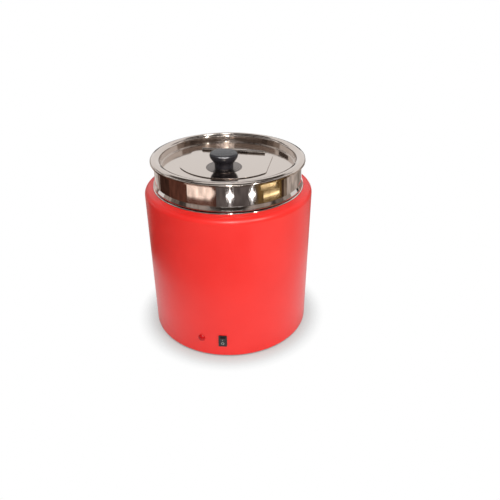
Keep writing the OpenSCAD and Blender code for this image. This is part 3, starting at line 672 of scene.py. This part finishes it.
flap_place = on_flap @ Matrix.Translation((0, 0, flap_z))
flap = prism("flap", flap_outline(0), flap_t, flap_edge, flap_place)
flap_roll = rolled("flap_roll", flap_back - 2 * MM, flap_z + flap_t / 2, flap_t,
                   [(-knuckle_half, knuckle_half)], roll_sweep)
dress(merge(flap, flap_roll), lid_steel, "flap", "polished_steel", "lid_flap")

# %% [markdown]
# ## The hinge leaf
# The fixed leaf has a knuckle at either side of the flap's own and a strip that is welded to
# the plate. It is the same rolled sheet as the flap's edge, turned the other way round the
# pin, so the same helper makes it. Its steel is rolled and left satin, which sets it apart
# from the polished plate as a greyer, softer line.

# %% Hinge leaf
satin_steel = spun_steel("satin_stainless_rolled", "#A39B95", gloss=(0.24, 0.34), streak=0.2)
leaf_t = 0.8 * MM
leaf_w = 9 * MM
leaf_edge, leaf_corner = 0.15 * MM, 1 * MM
leaf_back = hinge_y + barrel_r + 9.5 * MM
leaf_gap = knuckle_half + 0.5 * MM
leaf = rolled("hinge_fixed_leaf", leaf_back, plate_top + leaf_t / 2, leaf_t,
              [(-barrel_half, -leaf_gap), (leaf_gap, barrel_half)], -roll_sweep)
strip_outline = box_outline(2 * barrel_half, leaf_w, leaf_corner)
strip_place = on_flap @ Matrix.Translation((0, leaf_back - leaf_w / 2, plate_top))
leaf = merge(leaf, prism("strip", strip_outline, leaf_t, leaf_edge, strip_place))
dress(leaf, satin_steel, "lid", "satin_steel", "hinge_leaf")

# %% [markdown]
# ## The knob
# The knob is moulded from black phenolic resin. Its side is one S-shaped curve from the foot
# to the wide top, so a cosine gives it better than a few arcs. The edge of the cap is a small
# arc that runs into a very flat crown: a truly flat top would mirror one spot of the room and
# look dead.

# %% Knob
# Moulded phenolic: a deep, slightly blue black with a soft, even gloss.
phenolic = grained("black_phenolic_moulded", {"IOR": 1.6, "Specular IOR Level": 0.2},
                   ("#252429", "#2D2C32"), gloss=(0.2, 0.3),
                   cloud=9 * MM, grain=1.2 * MM, depth=0.004 * MM)
small_round = 128
knob_low, knob_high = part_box("knob")
knob_h = knob_high.z - knob_low.z
knob_top_r = (knob_high.x - knob_low.x) / 2
knob_foot_r = 17.3 * MM
knob_edge = 4 * MM
crown_r = 350 * MM
stem_h = 0.16 * knob_h
flare_h = 0.78 * knob_h - stem_h
flare_steps = 40
flare = [
    (knob_foot_r + (knob_top_r - knob_foot_r) * (1 - math.cos(math.pi * i / flare_steps)) / 2,
     stem_h + flare_h * i / flare_steps)
    for i in range(flare_steps + 1)
]
edge_x = knob_top_r - knob_edge
edge_rise = math.sqrt((crown_r - knob_edge) ** 2 - edge_x ** 2)
edge_swing = math.degrees(math.atan2(edge_rise, edge_x))
crown_z = knob_h - crown_r
knob_line = joined(
    [(0, 0), (knob_foot_r, 0)], flare,
    arc((edge_x, crown_z + edge_rise), knob_edge, 0, edge_swing, steps=16),
    arc((0, crown_z), crown_r, edge_swing, 90, steps=10),
)
knob = lathe("lid_knob", knob_line, small_round)
knob.location = ((knob_low.x + knob_high.x) / 2, (knob_low.y + knob_high.y) / 2, knob_low.z)
dress(knob, phenolic, "flap", "black_phenolic", "knob")

# %% [markdown]
# ## The seat of the knob
# Under the knob lies a shallow pressed disc that spreads its pull over the thin flap. It is a
# cone with a short upright edge, spun like the rest. Turned steel with a coarse finish blurs
# its reflection, and its tint is darkened well below that of bare steel as painted shade under
# the knob, so that it stands out from the polished flap round it.

# %% Seat of the knob
seat_low, seat_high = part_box("knob_seat")
seat_r = (seat_high.x - seat_low.x) / 2
seat_h = seat_high.z - seat_low.z
seat_line = joined(
    [(0, 0), (seat_r, 0)],
    rounded([(seat_r, 0, 0), (seat_r, 0.4 * seat_h, 0.3 * seat_h),
             (knob_foot_r, seat_h, 2 * MM), (0, seat_h, 0)]),
)
seat = lathe("knob_seat_disc", seat_line, small_round)
seat.location = (knob.location.x, knob.location.y, seat_low.z)
# Painted shade: this tint is far darker than bare steel, for the shade under the knob.
seat_steel_painted_shade = spun_steel("satin_stainless_turned_painted_shade", "#6A615C", gloss=(0.2, 0.3), streak=0.5)
dress(seat, seat_steel_painted_shade, "flap", "satin_steel", "knob_seat")

# %% [markdown]
# ## Black nylon
# Switch and gland are moulded from black nylon, which comes out of an etched mould with a
# fine matt grain. The CAD solids have the right shapes but hard edges. Instead of rebuilding
# them, a Weld and a Bevel modifier soften each edge by a fraction of a millimetre, and a
# weighted normal keeps the flats flat.

# %% Black nylon
weld_gap = 0.002 * MM
hard_edge = math.radians(40)


def soften(node, width):
    """Rounds the hard edges of a CAD node with modifiers, which leave its mesh as it is."""
    piece = frame["nodes"][node]
    piece.modifiers.new("weld", "WELD").merge_threshold = weld_gap
    bevel = piece.modifiers.new("soft_edges", "BEVEL")
    bevel.width = width
    bevel.segments = 3
    bevel.limit_method = "ANGLE"
    bevel.angle_limit = hard_edge
    piece.modifiers.new("even_normals", "WEIGHTED_NORMAL").weight = 80


def finish_nodes(material, *nodes):
    """Gives CAD nodes that stay in view one finish."""
    for node in nodes:
        kept = frame["nodes"][node].data.materials
        kept.clear()
        kept.append(material)
    print(material.name, "on", ", ".join(nodes))


# Moulded nylon: a matt black whose fine grain breaks up every highlight.
nylon = grained("black_nylon_moulded", {"IOR": 1.53}, ("#161618", "#1D1D20"),
                gloss=(0.38, 0.5), cloud=3 * MM, grain=0.5 * MM, depth=0.006 * MM)
finish_nodes(nylon, "switch_housing", "switch_rocker", "cord_gland", "gland_locknut",
             "lamp_holder", "thermal_cutout")
soften("switch_housing", width=0.35 * MM)
soften("switch_rocker", width=0.3 * MM)
soften("cord_gland", width=0.5 * MM)

# %% [markdown]
# ## The marks on the rocker
# A rocker carries a bar for on and a ring for off, pad-printed in pale grey. They could be
# painted by a texture, but two thin raised marks stay sharp at any distance and tip with the
# rocker. The rocker's face is two flats that meet at its pivot, so each mark is placed from
# the pivot: turned with the switch, leaned with the rocker, then lifted onto its flat. The ring
# is drawn large, so that it also stands for the sheen on the rocker's lower half: partly print,
# partly painted highlight.

# %% Marks on the rocker
# Pad print: a chalky grey film with no gloss to speak of.
mark_ink = grained("grey_pad_print", {"IOR": 1.5}, ("#9FA59F", "#B2B7B1"),
                   gloss=(0.45, 0.6), cloud=1.5 * MM, grain=0.4 * MM, depth=0.002 * MM)
rocker_joint = next(j for j in frame["joints"] if j["name"] == "switch_rock")
rocker_pivot = Vector(rocker_joint["pos_m"])
rocker_lean = math.radians(8)
rocker_rise = 2 * MM
mark_t = 0.12 * MM
mark_sink = 0.04 * MM
mark_reach = 4.7 * MM
mark_line = 0.8 * MM
mark_edge = 0.02 * MM
bar_h, bar_corner = 3.8 * MM, 0.2 * MM
off_and_sheen_r, off_edge = 2.8 * MM, 0.03 * MM


def on_rocker(side):
    """A place on the upper (+1) or lower (-1) half of the rocker's face, with Z outward."""
    turn = Matrix.Rotation(switch_turn, 4, "Z") @ Matrix.Rotation(rocker_lean, 4, "X")
    stand = turn @ Matrix.Rotation(math.pi / 2, 4, "X")
    tip = Matrix.Rotation(side * rocker_lean, 4, "X")
    rise = rocker_rise * math.cos(rocker_lean) - mark_sink
    lift = Matrix.Translation((0, side * mark_reach, rise))
    return Matrix.Translation(rocker_pivot) @ stand @ tip @ lift


bar_outline = box_outline(mark_line, bar_h, bar_corner)
bar = prism("mark_on", bar_outline, mark_t, mark_edge, on_rocker(1))
dress(bar, mark_ink, "rocker", "black_nylon")
# The off ring is drawn large so that it also stands for the sheen on the rocker's lower half:
# partly print, partly painted highlight.
off_line = joined(rounded([
    (off_and_sheen_r - mark_line, 0, 0), (off_and_sheen_r, 0, keen),
    (off_and_sheen_r, mark_t, off_edge), (off_and_sheen_r - mark_line, mark_t, 0),
], steps=3))
off_mark_and_sheen = lathe("mark_off_and_sheen", off_line, segments=48)
off_mark_and_sheen.matrix_world = on_rocker(-1)
dress(off_mark_and_sheen, mark_ink, "rocker", "black_nylon")

# %% [markdown]
# ## The pilot lamp
# The lens is a small dome of deep red polycarbonate over a neon lamp. Clear plastic could be
# pure transmission, but with the lamp off and a dark holder behind it the lens would go black.
# The real lens is tinted so deeply that it reads as solid red, so the tint is left solid here.

# %% Pilot lamp
# Moulded polycarbonate: a deep red with a smooth gloss and one small highlight.
lens_red = grained("red_polycarbonate_moulded", {"IOR": 1.585, "Specular IOR Level": 0.2},
                   ("#A8060C", "#C80C14"), gloss=(0.18, 0.28),
                   cloud=4 * MM, grain=1.6 * MM, depth=0.01 * MM)
lens_r = 7 * MM
lens_rim = 1.2 * MM
dome_h = 3.5 * MM
ball_r = (lens_r ** 2 + dome_h ** 2) / (2 * dome_h)
dome_swing = math.degrees(math.asin(lens_r / ball_r))
lens_line = joined(
    [(0, 0), (lens_r, 0), (lens_r, lens_rim)],
    arc((0, lens_rim + dome_h - ball_r), ball_r, 90 - dome_swing, 90, steps=20),
)
lens = lathe("pilot_lens", lens_line, segments=64)
lens.matrix_world = outward(lamp_turn, lamp_z)
dress(lens, lens_red, "kettle", "red_lens", "lamp_lens")

# %% [markdown]
# ## Under the base
# The feet, the base plate and the screws keep their CAD meshes, which have the right shapes.
# They show only from below, but each still gets the finish of what it is, so that the model
# holds up when someone turns it over or takes it apart.

# %% Under the base
# Zinc plate on steel: a cool grey with a soft bloom of crystals.
zinc = grained("zinc_plated_steel", {"Metallic": 1.0}, ("#A9AEB1", "#BFC3C4"),
               gloss=(0.28, 0.42), cloud=9 * MM, grain=1.5 * MM, depth=0.003 * MM)
finish_nodes(zinc, "base_plate", "base_tabs", "base_screws", "foot_screws", "foot_nuts",
             "heater_clamp", "centre_stud", "stud_nuts", "stat_fixings", "lamp_nut",
             "knob_screw")
finish_nodes(satin_steel, "hinge_pin")
# Moulded rubber: dull black with a dry, slightly dusty skin.
rubber = grained("black_rubber_moulded", {"IOR": 1.52}, ("#1B1C1E", "#25262A"),
                 gloss=(0.7, 0.85), cloud=4 * MM, grain=0.7 * MM, depth=0.01 * MM)
finish_nodes(rubber, "rubber_feet")
soften("rubber_feet", width=0.8 * MM)

# %% [markdown]
# ## Between casing and well
# A strip of silicone seals the ring of the well, and a blanket of mineral wool keeps the heat
# in. Fur or hair could draw single fibres of the wool, but nobody sees it closer than through
# a vent, so a coarse cloud and a deep relief are enough.

# %% Gasket and wool
# Extruded silicone rubber: a soft grey strip with a faint sheen.
silicone = grained("grey_silicone_extruded", {"IOR": 1.41}, ("#83878A", "#92969A"),
                   gloss=(0.5, 0.62), cloud=6 * MM, grain=1 * MM, depth=0.004 * MM)
finish_nodes(silicone, "well_gasket")
# Felted mineral wool: matt and uneven, with no highlight at all.
wool = grained("mineral_wool_felted", {"IOR": 1.5}, ("#CFC6AE", "#E4DDC8"),
               gloss=(0.9, 1.0), cloud=15 * MM, grain=2.5 * MM, depth=0.4 * MM)
finish_nodes(wool, "insulation_wrap")

# %% [markdown]
# ## The heater
# A cast aluminium plate under the well holds a bent heating tube. Both are metals, so their
# colour sits in the reflection: a metal takes its tint as base colour with metallic at one,
# and keeps the default IOR. The casting is sandy, the tube is drawn smooth and then browned.

# %% Heater
# Cast aluminium: pale grey with a sandy skin.
casting = grained("aluminium_cast", {"Metallic": 1.0}, ("#A4A7AA", "#B9BCBF"),
                  gloss=(0.42, 0.58), cloud=8 * MM, grain=1.2 * MM, depth=0.03 * MM)
finish_nodes(casting, "heater_plate")
# A heater sheath that has been hot: brown-grey oxide on drawn steel.
sheath = grained("oxidised_steel_drawn", {"Metallic": 1.0}, ("#5C5148", "#77695C"),
                 gloss=(0.4, 0.55), cloud=12 * MM, grain=2 * MM, depth=0.004 * MM)
finish_nodes(sheath, "heater_tube")

# %% [markdown]
# ## Wiring
# Heat near the heater rules out plain plastic, so the terminals are brass in unglazed ceramic,
# and the leads run in a varnished sleeve of woven glass. The weave is far finer than a pixel
# here, so a fine grain stands in for it.

# %% Wiring
# Drawn brass: bright yellow metal with a light tarnish.
brass = grained("brass_drawn", {"Metallic": 1.0}, ("#B8944A", "#CBAA62"),
                gloss=(0.25, 0.38), cloud=6 * MM, grain=1 * MM, depth=0.003 * MM)
finish_nodes(brass, "terminal_screws", "earth_screw", "earth_nut", "switch_tabs")
# Pressed steatite ceramic: unglazed and chalky.
ceramic = grained("steatite_pressed", {"IOR": 1.6}, ("#DED7C5", "#EAE4D5"),
                  gloss=(0.6, 0.75), cloud=5 * MM, grain=0.8 * MM, depth=0.008 * MM)
finish_nodes(ceramic, "terminal_block", "thermostat")
# Woven glass sleeve, soaked in varnish: a dull red-brown.
sleeve = grained("glass_sleeve_varnished", {"IOR": 1.5}, ("#8C2E20", "#A83A2A"),
                 gloss=(0.5, 0.65), cloud=4 * MM, grain=0.6 * MM, depth=0.03 * MM)
finish_nodes(sleeve, "wiring_leads")

# %% [markdown]
# ## The floor
# The kettle stands on a wide sheet of paper. A plane with an edge far out of sight does for
# it, made here as a grid of one face. It is no part of the object.

# %% Floor
floor_half = 6
floor_mesh = bmesh.new()
bmesh.ops.create_grid(floor_mesh, x_segments=1, y_segments=1, size=floor_half)
floor = as_object("floor", floor_mesh)
print("floor", 2 * floor_half, "m wide")

# %% [markdown]
# ## White paper
# The paper is matt and white, and it runs out into a white background. More light could bleach
# it, but that would bleach the kettle too. A Light Path node lets the camera, and anything
# mirrored, see plain white far out, while near the kettle a share of the real, lit paper is
# mixed in, so its soft shadow stays and the paper has no edge. An ambient occlusion node also
# dims the white where kettle and paper meet: a painted contact shadow.

# %% White paper
white = (1, 1, 1, 1)
shadow_centre = (0, -0.012, 0)
shadow_r, white_r = 0.145, 0.18
white_share = 0.7
painted_shadow_reach = 0.045


def seen(owner):
    """1 for rays from the camera, from gloss or through glass, which see the white set."""
    path = add_node(owner, "ShaderNodeLightPath").outputs
    mirrored = {0: path["Is Glossy Ray"], 1: path["Is Transmission Ray"]}
    other = add_node(owner, "ShaderNodeMath", mirrored, operation="MAXIMUM").outputs["Value"]
    both = {0: path["Is Camera Ray"], 1: other}
    return add_node(owner, "ShaderNodeMath", both, operation="MAXIMUM").outputs["Value"]


paper, paper_shader = new_material(
    "white_paper_matt", {"Base Color": colour("#F4F4F2"), "Roughness": 0.9})
paper_spot = add_node(paper, "ShaderNodeTexCoord").outputs["Object"]
distance = add_node(paper, "ShaderNodeVectorMath", {0: paper_spot, 1: shadow_centre},
                    operation="DISTANCE")
white_out = {"Value": distance.outputs["Value"], "From Min": shadow_r, "From Max": white_r,
             "To Min": white_share}
fade = add_node(paper, "ShaderNodeMapRange", white_out, interpolation_type="SMOOTHSTEP")
share = {0: seen(paper), 1: fade.outputs["Result"]}
# Painted shadow: ambient occlusion dims the white where kettle and paper meet, as shade would
# fall under an even sky.
corner = add_node(paper, "ShaderNodeAmbientOcclusion", {"Distance": painted_shadow_reach}, samples=8)
glow_with_painted_shadow = add_node(paper, "ShaderNodeEmission", {"Color": white, "Strength": corner.outputs["AO"]})
mix = add_node(paper, "ShaderNodeMixShader", {
    "Fac": add_node(paper, "ShaderNodeMath", share, operation="MULTIPLY").outputs["Value"],
    1: paper_shader.outputs["BSDF"], 2: glow_with_painted_shadow.outputs["Emission"]})
paper_out = paper.node_tree.nodes["Material Output"].inputs["Surface"]
paper.node_tree.links.new(mix.outputs["Shader"], paper_out)
floor.data.materials.append(paper)
print(paper.name, "is plain white from", white_r, "m out")

# %% [markdown]
# ## The background
# The world does two jobs here. To the camera and to gloss it is plain white, as the photograph
# is. To matt surfaces it is a dim, even light from all sides, which keeps the shadow side
# open. A backdrop mesh could do the first job, but the world has no edge to hide.

# %% Background
ambient = 0.32
world = bpy.data.worlds.new("studio")
scene.world = world
world.use_nodes = True
backdrop = world.node_tree.nodes["Background"]
backdrop.inputs["Color"].default_value = white
level = add_node(world, "ShaderNodeMapRange",
                 {"Value": seen(world), "To Min": ambient, "To Max": 1.0})
world.node_tree.links.new(level.outputs["Result"], backdrop.inputs["Strength"])
print("background white, matt surfaces get", ambient, "of it")

# %% [markdown]
# ## Light
# Two small lamps, a little above the camera's height and to its right, shape the casing. They
# stand low enough to leave the shoulder's top a shade darker than the wall. Area lamps are
# used because their size alone sets how soft the light is: small ones draw a small spark on
# each bend of the steel, and a broad one behind keeps the back from going dull.

# %% Lamps
aim = Vector((0, 0, 0.2))
lamp_white = "#FFF8F0"


def on_sphere(azimuth, elevation):
    """A direction from the kettle, turned from the front and raised, in degrees."""
    a, e = math.radians(azimuth), math.radians(elevation)
    return Vector((math.sin(a) * math.cos(e), -math.cos(a) * math.cos(e), math.sin(e)))


def lamp(name, azimuth, elevation, distance, size, watts, tint=lamp_white, target=aim):
    """A square area lamp that looks at the middle of the kettle, or at another target."""
    data = bpy.data.lights.new(name, "AREA")
    data.size = size
    data.energy = watts
    data.color = colour(tint)[:3]
    made = bpy.data.objects.new(name, data)
    back = on_sphere(azimuth, elevation)
    made.location = target + back * distance
    made.rotation_euler = back.to_track_quat("Z", "Y").to_euler()
    scene.collection.objects.link(made)
    return made


lamp("key_left", azimuth=5, elevation=38, distance=1.8, size=0.12, watts=16.4)
lamp("key_right", azimuth=43, elevation=38, distance=1.8, size=0.12, watts=9.1)
fill = lamp("fill_back", azimuth=192, elevation=18, distance=1.9, size=1.2, watts=13)
fill.visible_glossy = False  # the steel doesn't mirror it
print(len(bpy.data.lights), "lamps round the kettle")

# %% [markdown]
# ## A lamp for the knob
# In the photograph a bright line runs along the front of the knob's cap. A lamp strong enough
# for that would wash out everything else, so a strip lamp is linked to the knob alone, and it
# adds gloss only. Light linking is a list of the objects that a lamp may reach.

# %% Lamp for the knob
cap_front = knob.location + Vector((0, -knob_top_r, knob_h))
kicker = lamp("kicker", azimuth=7, elevation=54, distance=0.5, size=0.7, watts=24,
              tint="#FFFFFF", target=cap_front)
kicker.data.shape = "RECTANGLE"
kicker.data.size_y = 0.06
kicker.visible_diffuse = False
kicker.light_linking.receiver_collection = bpy.data.collections.new("knob_only")
kicker.light_linking.receiver_collection.objects.link(knob)

# %% [markdown]
# ## Cards
# Polished steel shows what stands round it, so a studio surrounds it with cards. A picture of
# a room wrapped round the world would do the same, but a card is a plain mesh whose place and
# tint can be set one by one. Only gloss can see the cards, so they neither light the kettle
# nor show in the picture.

# %% Cards
patch_width = 100 * MM  # no real board is lit quite evenly
patch_low, patch_high = 0.35, 0.65
patch_dim, patch_bright = 0.65, 1.2


def card(name, mesh, tint, strength=1.0):
    """A card of slightly uneven brightness, which only mirrored rays can see."""
    made = as_object(name, mesh)
    board, _ = new_material(name + "_board", {})
    spot = add_node(board, "ShaderNodeTexCoord").outputs["Object"]
    patches = add_node(board, "ShaderNodeTexNoise",
                       {"Vector": spot, "Scale": 1 / patch_width, "Detail": 2.0})
    uneven = {"Value": patches.outputs["Fac"],
              "From Min": patch_low, "From Max": patch_high,
              "To Min": patch_dim * strength, "To Max": patch_bright * strength}
    power = add_node(board, "ShaderNodeMapRange", uneven).outputs["Result"]
    light = add_node(board, "ShaderNodeEmission", {"Color": colour(tint), "Strength": power})
    board_out = board.node_tree.nodes["Material Output"].inputs["Surface"]
    board.node_tree.links.new(light.outputs["Emission"], board_out)
    made.data.materials.append(board)
    for ray in ("camera", "diffuse", "transmission", "shadow", "volume_scatter"):
        setattr(made, "visible_" + ray, False)
    return made


print("a card is uneven in patches of", patch_width, "m")

# %% [markdown]
# ## Shapes of cards
# Everything that a round neck mirrors is best placed round the same axis, so cards are given
# by an angle, a radius and a height. A curved strip lies on the floor or stands as a wall, and
# a flat face can take any outline. Both are a few lines of bmesh, with no thickness.

# %% Shapes of cards
card_steps = 24


def round_axis(turn, r, z):
    """A point at an angle from the front, in degrees, a radius and a height."""
    a = math.radians(turn)
    return (r * math.sin(a), -r * math.cos(a), z)


def curved(start, stop, low, high):
    """A strip of mesh between two points (radius, height), swept round the axis in degrees."""
    mesh = bmesh.new()
    turns = [start + (stop - start) * i / card_steps for i in range(card_steps + 1)]
    under, over = [[mesh.verts.new(round_axis(a, r, z)) for a in turns] for r, z in (low, high)]
    for i in range(card_steps):
        mesh.faces.new((under[i], under[i + 1], over[i + 1], over[i]))
    return mesh


def flat(points, height):
    """One face through points over the floor, given as degrees round the axis and radius."""
    mesh = bmesh.new()
    mesh.faces.new([mesh.verts.new(round_axis(a, r, height)) for a, r in points])
    return mesh


print("a curved card has", card_steps, "faces")

# %% [markdown]
# ## Cards on the floor
# Seen from above, the upright neck mirrors the floor, and a white floor alone would leave it
# blank. A ring of dark, warm and pale cards lies there, out of the camera's sight, with tints
# in between where the edges are soft. Each is bent up at its far end for views from lower
# down. One bright card close to the kettle gives the right side of the red its pale sheen.

# %% Cards on the floor
card_z = 2 * MM
card_near, card_far = 0.36, 2.38
bend_top = 0.28
# Each row has a name, the degrees from the front where the card starts and stops, and a tint.
floor_cards = [
    ("beige_left", -160, -126, "#DDD4CD"), ("shade_left", -126, -118, "#97857B"),
    ("black_left", -118, -92, "#432C24"), ("brown_left", -92, -15, "#643E32"),
    ("grey_front", -15, 38, "#6A6260"), ("umber_right", 38, 44, "#66543F"),
    ("brown_right", 44, 84, "#745A34"), ("dark_right", 84, 89, "#4A382C"),
    ("shade_right", 89, 96, "#8C7B6C"), ("beige", 96, 128, "#C9BDB4"),
    ("taupe_back", 128, 150, "#A0948B"), ("dark_back", 160, 176, "#5A4F48"),
    ("grey_back", 180, 200, "#6E6660"),
]
for name, start, stop, tint in floor_cards:
    bend = (card_far, card_z)
    card("card_" + name, curved(start, stop, (card_near, card_z), bend), tint)
    card("card_end_" + name, curved(start, stop, bend, (card_far, bend_top)), tint)
sheen_far, sheen_z = 0.74, 3 * MM
card("card_near_right", curved(26, 130, (card_near, sheen_z), (sheen_far, sheen_z)), "#F2E6E2")
print(2 * len(floor_cards) + 1, "cards on the floor")

# %% [markdown]
# ## Window, gold and stars
# Bright things in the room leave the shapes that make the neck look polished: a pale window
# with a pointed end, two gilded strips, and two lamps that flare into four-pointed stars. On a
# curved mirror a straight edge bends, so the window's long edges follow circles on the floor.

# %% Window, gold and stars
bright_z, star_z = 4 * MM, 6 * MM
window_tint = "#FFE6D8"
window_turns = [-58, -49, -41, -32, -24]
window_near, window_middle, window_far = 0.845, 0.9, 0.96
near_edge = [(a, window_near) for a in window_turns]
window_tip = [(-15, window_middle)]
far_edge = [(a, window_far) for a in window_turns[::-1]]
window_mesh = flat(near_edge + window_tip + far_edge, bright_z)
card("card_window", window_mesh, window_tint, strength=1.7)
upright_r, upright_low, upright_high = 2.36, 0.03, 0.24
upright_mesh = curved(-52, -24, (upright_r, upright_low), (upright_r, upright_high))
card("card_window_far", upright_mesh, window_tint, strength=1.5)
# Each strip has its start and stop in degrees, and its near and far radius.
gold_strips = [(48, 74, 0.922, 0.934), (52, 80, 0.835, 0.85)]
for number, (start, stop, near, far) in enumerate(gold_strips):
    strip_mesh = curved(start, stop, (near, bright_z), (far, bright_z))
    card(f"card_gold_{number}", strip_mesh, "#F8DCA6", strength=6)
star_turns = (4, 35)
star_r = 0.87
arm_turn, arm = 6, 0.05
waist_turn, waist = 1.5, 0.015
for number, turn in enumerate(star_turns):
    star = [
        (turn, star_r - arm), (turn + waist_turn, star_r - waist),
        (turn + arm_turn, star_r), (turn + waist_turn, star_r + waist),
        (turn, star_r + arm), (turn - waist_turn, star_r + waist),
        (turn - arm_turn, star_r), (turn - waist_turn, star_r - waist),
    ]
    card(f"card_star_{number}", flat(star, star_z), "#FFFFFF", strength=9)
print(2 + len(gold_strips) + len(star_turns), "bright cards")

# %% [markdown]
# ## The ceiling
# The plate of the lid and the tops of the round edges mirror what is overhead. A dark card
# there gives each bend a dark line beside a bright one, which is what tells the eye that metal
# is bent. Two small bright cards at the back put sparks on the far edge of the lid.

# %% Ceiling
ceiling_z, spark_z = 1.6, 1.58
ceiling_half = 1.3


def overhead(left, right, front, back, height):
    """A flat board over the kettle."""
    mesh = bmesh.new()
    corners = ((left, front), (right, front), (right, back), (left, back))
    mesh.faces.new([mesh.verts.new((x, y, height)) for x, y in corners])
    return mesh


across = {"left": -ceiling_half, "right": ceiling_half, "height": ceiling_z}
card("card_ceiling", overhead(front=-1.02, back=0.5, **across), "#2E2622")
card("card_ceiling_back", overhead(front=0.74, back=1.25, **across), "#3A302A")
spark_left = overhead(left=0.03, right=0.056, front=0.93, back=1.02, height=spark_z)
spark_right = overhead(left=-0.05, right=-0.024, front=0.9, back=0.985, height=spark_z)
card("card_spark_left", spark_left, "#FFFFFF", strength=9)
card("card_spark_right", spark_right, "#FFFFFF", strength=9)
print("4 cards overhead, the highest at", ceiling_z, "m")

# %% [markdown]
# ## The horizon
# The rounded edge of the lid and the bead of the pot turn through every direction, so they
# mirror the walls too. A low dark band in front, graded towards the sides, a pale slit over it
# and a dark band over that give them their lines. Grading matters: where a dark wall ended at
# once, the bead would show a square of white.

# %% Horizon
wall_r = 2.4
dim_low, slit_low, slit_high = 0.95, 1.15, 1.45
# Each row has a name, start and stop in degrees, lowest and highest edge, tint and strength.
wall_cards = [
    ("horizon_front", -62, 62, bend_top, dim_low, "#2A2422", 1),
    ("dim_front", -62, 62, dim_low, slit_low, "#857972", 1),
    ("horizon_back", 120, 240, bend_top, 0.6, "#2A2422", 1),
    ("over_slit", -95, 95, slit_high, 1.95, "#2E2825", 1),
    ("slit_lamp", -10, 22, 1.16, 1.28, "#FFFFFF", 8),
    ("dark_side", -135, -104, slit_low, 1.9, "#544B46", 1),
]
side_shades = [("dusk", 62, 74, "#4E4540"), ("haze", 74, 88, "#7A6F68"),
               ("mist", 88, 104, "#AFA49C")]
for shade, start, stop, tint in side_shades:
    wall_cards += [("left_" + shade, -stop, -start, bend_top, slit_low, tint, 1),
                   ("right_" + shade, start, stop, bend_top, slit_low, tint, 1)]
for name, start, stop, low, high, tint, strength in wall_cards:
    card("card_" + name, curved(start, stop, (wall_r, low), (wall_r, high)), tint, strength)
# The slit's own pale card stands just behind the slit lamp.
slit_r = wall_r + 0.01
card("card_slit_haze", curved(-95, 95, (slit_r, slit_low), (slit_r, slit_high)), "#B4A69E")
print(len(wall_cards) + 1, "cards on the walls")
